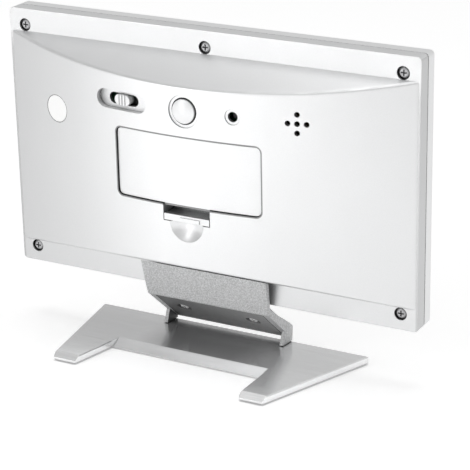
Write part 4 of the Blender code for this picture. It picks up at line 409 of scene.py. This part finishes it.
# Painted shade on the base's top, and its brushed streaks: shares of its colour, and where they begin and
# end
CORNER_SHARE = 0.84
CORNER_X = (-30 * MM, 40 * MM)
CORNER_Y = (5 * MM, 35 * MM)
NECK_SHARE = 0.7
NECK_X = (14 * MM, 26 * MM)
NECK_FRONT_Y = (-20 * MM, -10 * MM)
NECK_BACK_Y = (-2 * MM, 8 * MM)
LEVEL = (0.5, 0.9)
BRUSHED_SCALE = 0.03
BRUSHED_SIZE = 0.7 * MM
BRUSHED_SHARE = 0.94


def base_painted_shade_and_brushing(tree, coords):
    """Painted shade: lighter on the upright sides than on the top, which is darker towards one front
    corner and under the neck; and brushed all over."""
    upward = split(tree, surface_normal(tree))["Z"]
    place = split(tree, coords)
    corner = calc(
        tree, "MULTIPLY", rise(tree, place["X"], *CORNER_X), fall(tree, place["Y"], *CORNER_Y),
    )
    beside = fall(tree, calc(tree, "ABSOLUTE", place["X"]), *NECK_X)
    below = calc(
        tree, "MULTIPLY", rise(tree, place["Y"], *NECK_FRONT_Y), fall(tree, place["Y"], *NECK_BACK_Y),
    )
    top = times(
        tree, shares(tree, corner, (0.0, 1.0), (1.0, CORNER_SHARE)),
        shares(tree, calc(tree, "MULTIPLY", beside, below), (0.0, 1.0), (1.0, NECK_SHARE)),
    )
    share = blend(tree, "MIX", rise(tree, upward, *LEVEL), grey(1), top)
    streaks = noise(tree, stretched(tree, coords, BRUSHED_SCALE), BRUSHED_SIZE, 3.0, 0.6)
    return times(tree, share, shares(tree, streaks, (0.35, BRUSHED_SHARE), (0.65, 1.0)))


# Materials
PAINTS = {
    # Silver paint, with painted shade over the curved back and the case's sides
    "silver_paint": dict(
        colour=(0.88, 0.885, 0.89), patch=0.02, speckle=0.035, speckle_size=0.32 * MM, rough=(0.36, 0.42),
        grain_size=0.5 * MM, grain_depth=0.003 * MM, edge=0.12 * MM, dark=0.33, mask=painted_back_shade,
        metallic=0.85, coat=0.1, coat_roughness=0.3,
    ),
    "frame_paint": dict(
        colour=(0.84, 0.845, 0.85), patch=0.02, speckle=0.03, speckle_size=0.32 * MM, rough=(0.28, 0.36),
        grain_size=0.6 * MM, grain_depth=0.002 * MM, edge=0.3 * MM,
        metallic=0.15, coat=0.25, coat_roughness=0.2,
    ),
    "neck_paint": dict(
        colour=(0.71, 0.715, 0.72), patch=0.04, speckle=0.42, speckle_size=0.5 * MM, rough=(0.45, 0.6),
        grain_size=0.5 * MM, grain_depth=0.03 * MM, edge=0.25 * MM, mask=painted_cheek_shade, metallic=0.25,
    ),
    # Darker copy of the neck paint, for painted shade on the plate under the neck
    "under_paint": dict(
        colour=(0.43, 0.432, 0.435), patch=0.06, speckle=0.2, speckle_size=0.7 * MM, rough=(0.45, 0.6),
        grain_size=0.7 * MM, grain_depth=0.02 * MM, edge=0.2 * MM, mask=painted_plate_shade, metallic=0.25,
    ),
    "base_gloss": dict(
        colour=(0.99, 0.992, 0.998), patch=0.03, speckle=0.05, speckle_size=0.3 * MM, rough=(0.16, 0.22),
        grain_size=0.9 * MM, grain_depth=0.0012 * MM, edge=0.25 * MM, mask=base_painted_shade_and_brushing,
        metallic=0.75, coat=0.15, coat_roughness=0.2,
    ),
    "pale_plastic": dict(
        colour=(0.90, 0.905, 0.91), patch=0.02, speckle=0.03, speckle_size=0.4 * MM, rough=(0.3, 0.4),
        grain_size=0.3 * MM, grain_depth=0.002 * MM, edge=0.25 * MM,
        metallic=0.3, coat=0.15, coat_roughness=0.2,
    ),
    "knob_plastic": dict(
        colour=(0.94, 0.945, 0.95), patch=0.02, speckle=0.03, speckle_size=0.4 * MM, rough=(0.3, 0.4),
        grain_size=0.3 * MM, grain_depth=0.002 * MM, edge=0.3 * MM, dark=0.75, mask=painted_slot_shade,
        metallic=0.2, coat=0.15, coat_roughness=0.2,
    ),
    "key_plastic": dict(
        colour=(0.66, 0.67, 0.69), patch=0.03, speckle=0.03, speckle_size=0.4 * MM, rough=(0.34, 0.42),
        grain_size=0.6 * MM, grain_depth=0.001 * MM, edge=0.3 * MM,
        metallic=0.2, coat=0.2, coat_roughness=0.2,
    ),
    "dark_plastic": dict(
        colour=(0.035, 0.035, 0.038), patch=0.15, speckle=0.2, speckle_size=0.25 * MM, rough=(0.4, 0.55),
        grain_size=0.25 * MM, grain_depth=0.006 * MM, edge=0.1 * MM,
    ),
    "zinc_plate": dict(
        colour=(0.95, 0.95, 0.95), patch=0.04, speckle=0.08, speckle_size=0.2 * MM, rough=(0.4, 0.55),
        grain_size=0.2 * MM, grain_depth=0.004 * MM, edge=0.15 * MM, metallic=0.2,
    ),
    "display_ink": dict(
        colour=(0.045, 0.05, 0.055), patch=0.1, speckle=0.1, speckle_size=0.3 * MM, rough=(0.3, 0.4),
        grain_size=0.3 * MM, grain_depth=0.001 * MM, edge=0.02 * MM, dark=1,
    ),
    "display_ghost": dict(
        colour=(0.385, 0.43, 0.365), patch=0.05, speckle=0.04, speckle_size=0.3 * MM, rough=(0.25, 0.35),
        grain_size=0.3 * MM, grain_depth=0.001 * MM, edge=0.02 * MM, dark=1,
    ),
    "border_ink": dict(
        colour=(0.06, 0.062, 0.067), patch=0.1, speckle=0.1, speckle_size=0.25 * MM, rough=(0.35, 0.45),
        grain_size=0.25 * MM, grain_depth=0.002 * MM, edge=0.05 * MM,
    ),
    "guide_acrylic": dict(
        colour=(0.86, 0.90, 0.93), patch=0.03, speckle=0.03, speckle_size=0.5 * MM, rough=(0.1, 0.2),
        grain_size=1.0 * MM, grain_depth=0.002 * MM, edge=0.1 * MM, subsurface=0.2,
    ),
    "foot_rubber": dict(
        colour=(0.03, 0.03, 0.032), patch=0.2, speckle=0.3, speckle_size=0.3 * MM, rough=(0.7, 0.85),
        grain_size=0.25 * MM, grain_depth=0.02 * MM, edge=0.15 * MM,
    ),
    "cell_sleeve": dict(
        colour=(0.028, 0.03, 0.036), patch=0.1, speckle=0.1, speckle_size=0.4 * MM, rough=(0.2, 0.3),
        grain_size=0.6 * MM, grain_depth=0.002 * MM, edge=0.1 * MM, coat=0.5, coat_roughness=0.12,
    ),
    "sticker_paper": dict(
        colour=(0.98, 0.98, 0.975), patch=0.01, speckle=0.04, speckle_size=0.25 * MM, rough=(0.42, 0.55),
        grain_size=0.2 * MM, grain_depth=0.003 * MM, edge=0.08 * MM,
    ),
    "diode_resin": dict(
        colour=(0.92, 0.88, 0.62), patch=0.04, speckle=0.04, speckle_size=0.3 * MM, rough=(0.2, 0.3),
        grain_size=0.3 * MM, grain_depth=0.002 * MM, edge=0.1 * MM, subsurface=0.1,
    ),
}

METALS = {
    "screw_steel": dict(
        colour=(0.5, 0.5, 0.51), rough=(0.3, 0.5), scratch_size=0.12 * MM, scratch_depth=0.004 * MM,
        edge=0.15 * MM, dark=1, mask=screw_recess_painted_shade,
    ),
    "spring_steel": dict(
        colour=(0.76, 0.76, 0.77), rough=(0.18, 0.3), scratch_size=0.1 * MM, scratch_depth=0.001 * MM,
        edge=0.05 * MM,
    ),
    "contact_nickel": dict(
        colour=(0.78, 0.76, 0.72), rough=(0.2, 0.36), scratch_size=0.15 * MM, scratch_depth=0.001 * MM,
        edge=0.1 * MM,
    ),
    "buzzer_brass": dict(
        colour=(0.80, 0.62, 0.30), rough=(0.25, 0.4), scratch_size=0.2 * MM, scratch_depth=0.001 * MM,
        edge=0.1 * MM, mask=painted_hole_shade,
    ),
    "weight_steel": dict(
        colour=(0.45, 0.46, 0.47), rough=(0.35, 0.6), scratch_size=0.3 * MM, scratch_depth=0.004 * MM,
        edge=0.2 * MM,
    ),
}


def board_green():
    """Solder mask with copper tracks that shine through a little."""
    made, tree, shader, coords = new_material("board_green")
    track_pitch = 2.4 * MM
    cells = add(
        tree, "TexVoronoi", {"Vector": coords, "Scale": 1 / track_pitch, "Randomness": 0.4},
        distance="CHEBYCHEV", feature="F1",
    ).outputs["Distance"]
    tracks = rise(tree, cells, 0.42, 0.46)
    slow = noise(tree, coords, 20 * MM)
    mask = tones(tree, slow, (0.35, (0.02, 0.13, 0.06)), (0.65, (0.03, 0.17, 0.08)))
    copper = tones(tree, slow, (0.35, (0.06, 0.24, 0.10)), (0.65, (0.08, 0.28, 0.12)))
    set_inputs(
        tree,
        shader,
        colour=blend(tree, "MIX", tracks, mask, copper),
        roughness=spread(tree, slow, 0.28, 0.4),
        normal=bump(tree, tracks, 0.02 * MM, edges(tree, 0.1 * MM)),
        coat=0.4,
        coat_roughness=0.2,
    )
    return made


def clear_window():
    """Clear acrylic: lets light straight through, with a gloss that grows towards grazing angles."""
    made, tree, shader, coords = new_material("clear_window")
    smear = noise(tree, coords, 30 * MM, 4.0, 0.6)
    set_inputs(
        tree,
        shader,
        colour=tones(tree, smear, (0.3, (0.02, 0.02, 0.022)), (0.7, (0.03, 0.03, 0.032))),
        roughness=spread(tree, smear, 0.03, 0.07),
        normal=edges(tree, 0.3 * MM),
        specular=0.6,
    )
    clear = add(tree, "BsdfTransparent", {"Color": (0.96, 0.97, 0.97, 1)}).outputs["BSDF"]
    facing = add(tree, "LayerWeight", {"Blend": 0.18}).outputs["Fresnel"]
    gloss = spread(tree, facing, 0.06, 0.9, 0.0, 1.0)
    mixed = add(tree, "MixShader", {0: gloss, 1: clear, 2: shader.outputs["BSDF"]}).outputs["Shader"]
    tree.links.new(mixed, tree.nodes["Material Output"].inputs["Surface"])
    return made


def panel_glass():
    """Grey-green field of the liquid crystal panel."""
    made, tree, shader, coords = new_material("panel_glass")
    slow = noise(tree, coords, 40 * MM, 2.0)
    fine = noise(tree, coords, 0.25 * MM, 2.0)
    field = tones(tree, slow, (0.3, (0.40, 0.45, 0.38)), (0.7, (0.44, 0.49, 0.42)))
    set_inputs(
        tree,
        shader,
        colour=times(tree, field, shares(tree, fine, (0.3, 0.96), (0.7, 1.0))),
        roughness=spread(tree, slow, 0.2, 0.3),
        normal=bump(tree, fine, 0.002 * MM, edges(tree, 0.1 * MM)),
    )
    return made


def strip_rubber():
    """Elastomer strip with its fine conducting layers."""
    made, tree, shader, coords = new_material("strip_rubber")
    layer_pitch = 0.9 * MM
    layers = add(
        tree, "TexWave", {"Vector": coords, "Scale": 1 / layer_pitch, "Distortion": 0.3},
        wave_type="BANDS", bands_direction="X",
    ).outputs["Fac"]
    fine = noise(tree, coords, 0.4 * MM)
    set_inputs(
        tree,
        shader,
        colour=tones(tree, layers, (0.4, (0.05, 0.05, 0.055)), (0.6, (0.50, 0.28, 0.30))),
        roughness=spread(tree, fine, 0.55, 0.75),
        normal=bump(tree, layers, 0.01 * MM, edges(tree, 0.1 * MM)),
    )
    return made


def ribbon_film():
    """Flat cable: a pale film with its conductors showing through."""
    made, tree, shader, coords = new_material("ribbon_film")
    lane_pitch = 6 * MM
    lanes = add(
        tree, "TexWave", {"Vector": coords, "Scale": 1 / lane_pitch},
        wave_type="BANDS", bands_direction="X",
    ).outputs["Fac"]
    fine = noise(tree, coords, 0.5 * MM)
    set_inputs(
        tree,
        shader,
        colour=tones(tree, lanes, (0.35, (0.74, 0.75, 0.77)), (0.65, (0.52, 0.50, 0.46))),
        roughness=spread(tree, fine, 0.35, 0.5),
        normal=bump(tree, lanes, 0.02 * MM, edges(tree, 0.05 * MM)),
    )
    return made


def floor_paper():
    """Pale seamless paper that is lit from all round."""
    made, tree, shader, coords = new_material("floor_paper")
    fine = noise(tree, coords, 1.5 * MM)
    slow = noise(tree, coords, 400 * MM, 2.0)
    set_inputs(
        tree,
        shader,
        colour=shares(tree, slow, (0.3, 0.90), (0.7, 0.92)),
        roughness=spread(tree, fine, 0.75, 0.9),
        normal=bump(tree, fine, 0.01 * MM, edges(tree, 0.01 * MM)),
        specular=0.1,
    )
    shader.inputs["Emission Color"].default_value = grey(1)
    shader.inputs["Emission Strength"].default_value = 0.33
    return made


def all_finishes():
    """Every material of the clock, by name."""
    made = {name: paint(name, **looks) for name, looks in PAINTS.items()}
    made.update({name: metal(name, **looks) for name, looks in METALS.items()})
    for special in (board_green, clear_window, panel_glass, strip_rubber, ribbon_film):
        made[special.__name__] = special()
    return made


# Meshes: the angle up to which corners are soft, on most pieces and on the rear shell, how near points are
# joined and how narrow faces are dropped, and how the case screws' heads are widened
SOFT_DEGREES = 32
SHELL_DEGREES = 25
WELD_REACH = 0.002 * MM
NARROW_REACH = 0.001 * MM
HEAD_INNER_RADIUS = 1.6 * MM
HEAD_SHARE = 1.13

# A face takes the curved back's own normals where its corners are this even and this near to the arc, and
# where its normal has at least this cosine with the arc's
ARC_EVEN = 0.04 * MM
ARC_DEPTH = 3.2 * MM
ARC_ALONG = 0.999


def mesh_of(shape, name):
    made = bpy.data.meshes.new(name)
    shape.to_mesh(made)
    shape.free()
    return made


def back_normal(corners, normal):
    """Normals at a face's corners where the face lies along the curved back, or None where it doesn't."""
    centre = Vector((0, BULGE_DEPTH - BULGE_RADIUS))
    arms = [(UNCASE @ point).xy - centre for point in corners]
    reaches = [arm.length for arm in arms]
    if max(reaches) - min(reaches) > ARC_EVEN or abs(max(reaches) - BULGE_RADIUS) > ARC_DEPTH:
        return None
    middle = sum(arms, Vector((0, 0))).normalized()
    if normal.dot(CASE.to_3x3() @ Vector((*middle, 0))) < ARC_ALONG:
        return None
    return [CASE.to_3x3() @ Vector((*arm.normalized(), 0)) for arm in arms]


def shade(mesh, degrees):
    """Soft corner normals: even over curves, sharp where faces meet at more than an angle."""
    limit = math.cos(math.radians(degrees))
    faces = mesh.polygons
    around = {}
    for face in faces:
        face.use_smooth = True
        for vertex in face.vertices:
            around.setdefault(vertex, []).append(face.index)
    normals = []
    for face in faces:
        own = face.normal
        corners = [mesh.vertices[vertex].co for vertex in face.vertices]
        curved = back_normal(corners, own)
        if curved:
            normals += curved
            continue
        for vertex in face.vertices:
            total = Vector()
            for index in around[vertex]:
                other = faces[index]
                if own.dot(other.normal) > limit:
                    total += other.normal * other.area
            normals.append(total.normalized() if total.length > 0 else own.copy())
    mesh.normals_split_custom_set([tuple(normal) for normal in normals])


def show(name, mesh, body, finish):
    """New piece that rides on a body, with its material."""
    made = bpy.data.objects.new(name, mesh)
    bpy.context.scene.collection.objects.link(made)
    mesh.materials.clear()
    mesh.materials.append(finish)
    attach(made, body)
    return made


def widen(shape, beyond, share):
    """Widens what lies beyond a radius round a screw's axis, which is square to the case's back."""
    places = [UNCASE @ vertex.co for vertex in shape.verts]
    middle = []
    for axis in (0, 2):
        line = [place[axis] for place in places]
        middle.append((min(line) + max(line)) / 2)
    for vertex, place in zip(shape.verts, places):
        arm = Vector((place.x - middle[0], place.z - middle[1]))
        if arm.length > beyond:
            arm *= share
            vertex.co = CASE @ Vector((middle[0] + arm.x, place.y, middle[1] + arm.y))


def body_of(node):
    """Name of the body that carries a CAD node."""
    return frame["nodes"][node].parent.name.split(":")[-1]


def dress(node, finish, degrees=SOFT_DEGREES):
    """Shows a CAD node by a copy whose curved faces are smooth, in the same place."""
    source = frame["nodes"][node]
    shape = bmesh.new()
    for vertex in source.data.vertices:
        shape.verts.new(vertex.co)
    shape.verts.ensure_lookup_table()
    for face in source.data.polygons:
        try:
            shape.faces.new([shape.verts[index] for index in face.vertices])
        except ValueError:
            continue
    bmesh.ops.remove_doubles(shape, verts=shape.verts, dist=WELD_REACH)
    bmesh.ops.dissolve_degenerate(shape, edges=shape.edges, dist=NARROW_REACH)
    if "case_screw" in node:
        widen(shape, HEAD_INNER_RADIUS, HEAD_SHARE)
    mesh = mesh_of(shape, node + "_dressed")
    shade(mesh, degrees)
    made = show(node + "_dressed", mesh, body_of(node), finish)
    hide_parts(node)


def link_loops(shape, pairs):
    """Faces between the two loops of vertices in each pair."""
    for first, second in pairs:
        for index in range(len(first)):
            following = (index + 1) % len(first)
            shape.faces.new([first[index], first[following], second[following], second[index]])


def placed(shape, name):
    """Mesh of a closed shape that was made in the case's frame."""
    bmesh.ops.recalc_face_normals(shape, faces=shape.faces)
    bmesh.ops.transform(shape, matrix=CASE, verts=shape.verts)
    return mesh_of(shape, name)


def prism(outlines, low, high):
    """Flat outlines in the case's XZ plane, given thickness along Y."""
    shape = bmesh.new()
    for outline in outlines:
        front = [shape.verts.new((x, low, z)) for x, z in outline]
        back = [shape.verts.new((x, high, z)) for x, z in outline]
        shape.faces.new(front)
        shape.faces.new(list(reversed(back)))
        link_loops(shape, [(front, back)])
    return placed(shape, "prism")


def arc(centre, radius, start, end, steps):
    points = []
    for index in range(steps + 1):
        angle = math.radians(start + (end - start) * index / steps)
        points.append((centre[0] + radius * math.cos(angle), centre[1] + radius * math.sin(angle)))
    return points


def rounded(width, height, corner, centre, steps=6):
    """Rectangle with round corners."""
    points = []
    for index, (across, up) in enumerate(((1, 1), (-1, 1), (-1, -1), (1, -1))):
        middle = (
            centre[0] + across * (width / 2 - corner),
            centre[1] + up * (height / 2 - corner),
        )
        points += arc(middle, corner, index * 90, (index + 1) * 90, steps)
    return points


# Display: the segments that are lit for each character
SEGMENTS = {"0": "abcdef", "1": "bc", "2": "abged", "3": "abgcd", "5": "afgcd", "8": "abcdefg", "-": "g"}

# Rows: text, then in millimetres its left end and foot, and a digit's width, height, stroke and pitch
ROWS = (
    ("10:08", -50.0, 2.0, 18.5, 30.0, 4.0, 25.0),
    ("12-28", -50.0, -19.0, 7.6, 13.0, 1.8, 10.4),
    ("23.5", 22.0, -19.0, 7.6, 13.0, 1.8, 10.4),
)
SLANT = math.tan(math.radians(6))

# Shares of a digit's stroke, the heights of the colon's dots as shares of a digit's height, and the angle
# at which a dot's outline ends
SEGMENT_GAP = 0.08
DOT_RADIUS = 0.5
DOT_END = 345
COLON_X = 0.55
COLON_WIDTH = 2.1
COLON_HEIGHTS = (0.32, 0.68)
POINT_X = 0.1
POINT_Z = 0.5

DEGREE_CENTRE = (55.0 * MM, -8.0 * MM)
DEGREE_OUTER = 1.5 * MM
DEGREE_INNER = 0.8 * MM
PRINT_GAP = 0.01 * MM
LIT_THICKNESS = 0.05 * MM
UNLIT_THICKNESS = 0.03 * MM


def dot(x, z, radius, steps):
    """Round dot, without the point that would close it twice."""
    return arc((x, z), radius, 0, DOT_END, steps)


def digit_segments(width, height, stroke):
    """Outlines of a digit's segments by name; its lower left corner is at the origin."""
    half = stroke / 2
    gap = stroke * SEGMENT_GAP

    def bar(x1, x2, z):
        upper = [(x1, z), (x1 + half, z + half), (x2 - half, z + half)]
        return upper + [(x2, z), (x2 - half, z - half), (x1 + half, z - half)]

    def post(z1, z2, x):
        left_side = [(x, z1), (x - half, z1 + half), (x - half, z2 - half)]
        return left_side + [(x, z2), (x + half, z2 - half), (x + half, z1 + half)]

    left, right = half, width - half
    bottom, middle, top = half, height / 2, height - half
    return {
        "a": bar(left + gap, right - gap, top),
        "b": post(middle + gap, top - gap, right),
        "c": post(bottom + gap, middle - gap, right),
        "d": bar(left + gap, right - gap, bottom),
        "e": post(bottom + gap, middle - gap, left),
        "f": post(middle + gap, top - gap, left),
        "g": bar(left + gap, right - gap, middle),
    }


def slanted(outline, x, z):
    return [(x + across + up * SLANT, z + up) for across, up in outline]


def digit_row(text, x, z, width, height, stroke, pitch):
    """Lit and unlit segments of a row of digits."""
    lit, unlit = [], []
    segments = digit_segments(width, height, stroke)
    for character in text:
        if character == ":":
            for share in COLON_HEIGHTS:
                circle = dot(stroke * COLON_X, height * share, stroke * DOT_RADIUS, 23)
                lit.append(slanted(circle, x, z))
            x += stroke * COLON_WIDTH
            continue
        if character == ".":
            circle = dot(stroke * POINT_X, stroke * POINT_Z, stroke * DOT_RADIUS, 15)
            lit.append(slanted(circle, x - (pitch - width) / 2, z))
            continue
        for name, outline in segments.items():
            (lit if name in SEGMENTS[character] else unlit).append(slanted(outline, x, z))
        x += pitch
    return lit, unlit


def display(finishes):
    """Digits of the time, the date and the temperature on the panel, with the unlit segments faint."""
    lit, unlit = [], []
    for text, *sizes in ROWS:
        row_lit, row_unlit = digit_row(text, *(size * MM for size in sizes))
        lit += row_lit
        unlit += row_unlit
    for start in (0, 180):
        outer = arc(DEGREE_CENTRE, DEGREE_OUTER, start, start + 180, 12)
        inner = arc(DEGREE_CENTRE, DEGREE_INNER, start + 180, start, 12)
        lit.append(outer + inner)
    high = PANEL_FRONT - PRINT_GAP
    mesh = prism(lit, high - LIT_THICKNESS, high)
    show("display_digits", mesh, CLOCK, finishes["display_ink"])
    mesh = prism(unlit, high - UNLIT_THICKNESS, high)
    show("display_unlit", mesh, CLOCK, finishes["display_ghost"])


# Width, height and corner of the border's outer and inner edges, its gap to the window and its thickness
BORDER_OUTER = (151.4 * MM, 73.4 * MM, 1.2 * MM)
BORDER_INNER = (140.0 * MM, 62.0 * MM, 2.0 * MM)
BORDER_GAP = 0.02 * MM
BORDER_THICKNESS = 0.05 * MM


def window_border(finishes):
    """Border printed on the back of the window, round its clear field."""
    outer = rounded(*BORDER_OUTER, (0, WINDOW_Z))
    inner = rounded(*BORDER_INNER, (0, WINDOW_Z))
    low = WINDOW_BACK + BORDER_GAP
    high = low + BORDER_THICKNESS
    shape = bmesh.new()
    loops = []
    for outline, y in ((outer, low), (inner, low), (inner, high), (outer, high)):
        loops.append([shape.verts.new((x, y, z)) for x, z in outline])
    link_loops(shape, zip(loops, loops[1:] + loops[:1]))
    show("window_border", placed(shape, "border"), CLOCK, finishes["border_ink"])


# Springs: a tapering coil from its contact plate to the cell, in the case's frame; each has its node, the
# side of the bay that it starts from and its height
WIRE_RADIUS = 0.3 * MM
COIL_START = 26.5 * MM
COIL_REACH = 7.0 * MM
COIL_PLATE_RADIUS = 3.4 * MM
COIL_CELL_RADIUS = 2.2 * MM
COIL_TURNS = 4.5
COIL_STEPS = 150
CELL_Y = 6.05 * MM
SPRINGS = (("battery_spring_upper", -1, 7.9 * MM), ("battery_spring_lower", 1, -3.3 * MM))


def spring(node, side, z, finish):
    """Smooth coil on the CAD coil's line, on one side of the battery bay."""
    curve = bpy.data.curves.new(node + "_dressed", "CURVE")
    curve.dimensions = "3D"
    curve.bevel_depth = WIRE_RADIUS
    curve.bevel_resolution = 5
    curve.use_fill_caps = True
    line = curve.splines.new("POLY")
    line.points.add(COIL_STEPS)
    for index, knot in enumerate(line.points):
        share = index / COIL_STEPS
        angle = 2 * math.pi * COIL_TURNS * share
        radius = COIL_PLATE_RADIUS + (COIL_CELL_RADIUS - COIL_PLATE_RADIUS) * share
        place = Vector((
            side * (COIL_START - COIL_REACH * share),
            CELL_Y + radius * math.cos(angle),
            z + radius * math.sin(angle),
        ))
        knot.co = (*(CASE @ place), 1)
    made = bpy.data.objects.new(node + "_dressed", curve)
    bpy.context.scene.collection.objects.link(made)
    curve.materials.append(finish)
    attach(made, CLOCK)
    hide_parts(node)


# Camera, light and floor
CAMERA_PLACE = (-0.33053, 0.58048, 0.24829)
CAMERA_RIGHT = (-0.876011, -0.481901, 0.019405)
CAMERA_UP = (0.155059, -0.243316, 0.957473)
CAMERA_BACK = (-0.456686, 0.841765, 0.28787)
LENS = 149.25
SENSOR_WIDTH = 36.0
NEAREST = 0.01

# Brightness of the world from one side of the picture to the other
WORLD_STRENGTHS = (0.73, 0.47)

# Lamps: name, place, target, size and power; pools: name, place, target and power; in metres and watts
LAMPS = (
    ("low_light", (0.55, 0.95, 0.10), (0, 0, 0.07), 0.32, 0.8),
    ("rim_light", (0.55, 0.95, 0.50), (0, 0, 0.07), 0.3, 1.0),
    ("over_light", (0.1, 0.0, 1.6), (0, 0, 0.05), 0.9, 4.5),
)
POOLS = (
    ("far_pool", (0.10, 0.60, 0.75), (0.12, 0.32, 0.0), 19.0),
    ("near_pool", (-0.05, 0.45, 0.75), (-0.05, 0.19, 0.0), 5.5),
)
POOL_ANGLE = math.radians(28)
POOL_LAMP_RADIUS = 0.08
FLOOR_HALF = 4.0


def camera():
    """Camera at the photograph's place, with its long lens."""
    made = bpy.data.objects.new("camera", bpy.data.cameras.new("camera"))
    turn = Matrix((CAMERA_RIGHT, CAMERA_UP, CAMERA_BACK)).transposed().to_4x4()
    made.matrix_world = Matrix.Translation(CAMERA_PLACE) @ turn
    made.data.lens = LENS
    made.data.sensor_width = SENSOR_WIDTH
    made.data.clip_start = NEAREST
    bpy.context.scene.collection.objects.link(made)
    bpy.context.scene.camera = made


def light(name, kind, place, target, power):
    """Adds a light that shines from a place towards a target, and returns its settings."""
    made = bpy.data.objects.new(name, bpy.data.lights.new(name, kind))
    made.data.energy = power
    made.location = place
    made.rotation_euler = (Vector(target) - Vector(place)).to_track_quat("-Z", "Y").to_euler()
    bpy.context.scene.collection.objects.link(made)
    return made.data


def soft_lamp(name, place, target, size, power):
    made = light(name, "AREA", place, target, power)
    made.shape = "SQUARE"
    made.size = size


def pool(name, place, target, power):
    """Soft pool of light on the floor, which the curved back mirrors."""
    made = light(name, "SPOT", place, target, power)
    made.spot_size = POOL_ANGLE
    made.spot_blend = 1.0
    made.shadow_soft_size = POOL_LAMP_RADIUS


def light_scene():
    world = bpy.data.worlds.new("studio")
    world.use_nodes = True
    tree = world.node_tree
    background = tree.nodes["Background"]
    way = add(tree, "TexCoord", {}).outputs["Generated"]
    strength = spread(tree, split(tree, way)["X"], *WORLD_STRENGTHS, -1.0, 1.0)
    tree.links.new(strength, background.inputs["Strength"])
    background.inputs["Color"].default_value = grey(1)
    bpy.context.scene.world = world
    bpy.context.scene.view_settings.view_transform = "Standard"
    for lamp in LAMPS:
        soft_lamp(*lamp)
    for spot in POOLS:
        pool(*spot)


def floor():
    shape = bmesh.new()
    bmesh.ops.create_grid(shape, x_segments=8, y_segments=8, size=FLOOR_HALF)
    made = bpy.data.objects.new("floor", mesh_of(shape, "floor"))
    made.data.materials.append(floor_paper())
    bpy.context.scene.collection.objects.link(made)


# CAD nodes by the material that shows them
DRESSED = {
    "silver_paint": ("rear_shell", "battery_door"),
    "frame_paint": ("front_frame",),
    "neck_paint": ("neck_shell",),
    "under_paint": ("neck_plate",),
    "base_gloss": ("base",),
    "pale_plastic": ("snooze_button",),
    "knob_plastic": ("slide_knob",),
    "key_plastic": ("key_mode", "key_down", "key_up", "key_alarm"),
    "dark_plastic": (
        "key_switch_mode", "key_switch_down", "key_switch_up", "key_switch_alarm", "chip",
        "slide_lever", "snooze_plunger", "snooze_switch", "reset_switch", "reset_plunger",
    ),
    "contact_nickel": ("slide_switch", "spring_plate", "button_plate", "link_plate"),
    "spring_steel": ("crystal",),
    "board_green": ("main_board", "control_board"),
    "buzzer_brass": ("buzzer",),
    "clear_window": ("display_window",),
    "panel_glass": ("display_panel",),
    "guide_acrylic": ("light_guide",),
    "diode_resin": ("light_diode",),
    "strip_rubber": ("connector_strip",),
    "ribbon_film": ("board_ribbon",),
    "sticker_paper": ("sticker",),
    "weight_steel": ("base_weight",),
    "cell_sleeve": ("battery_cell_upper", "battery_cell_lower"),
    "foot_rubber": ("foot_front_left", "foot_front_right", "foot_back_left", "foot_back_right"),
}


def build():
    camera()
    light_scene()
    floor()
    finishes = all_finishes()
    for finish, nodes in DRESSED.items():
        for node in nodes:
            degrees = SHELL_DEGREES if node == "rear_shell" else SOFT_DEGREES
            dress(node, finishes[finish], degrees)
    for node in frame["nodes"]:
        if "screw" in node:
            finish = "zinc_plate" if "neck" in node else "screw_steel"
            dress(node, finishes[finish])
    for node, side, z in SPRINGS:
        spring(node, side, z, finishes["spring_steel"])
    display(finishes)
    window_border(finishes)


build()
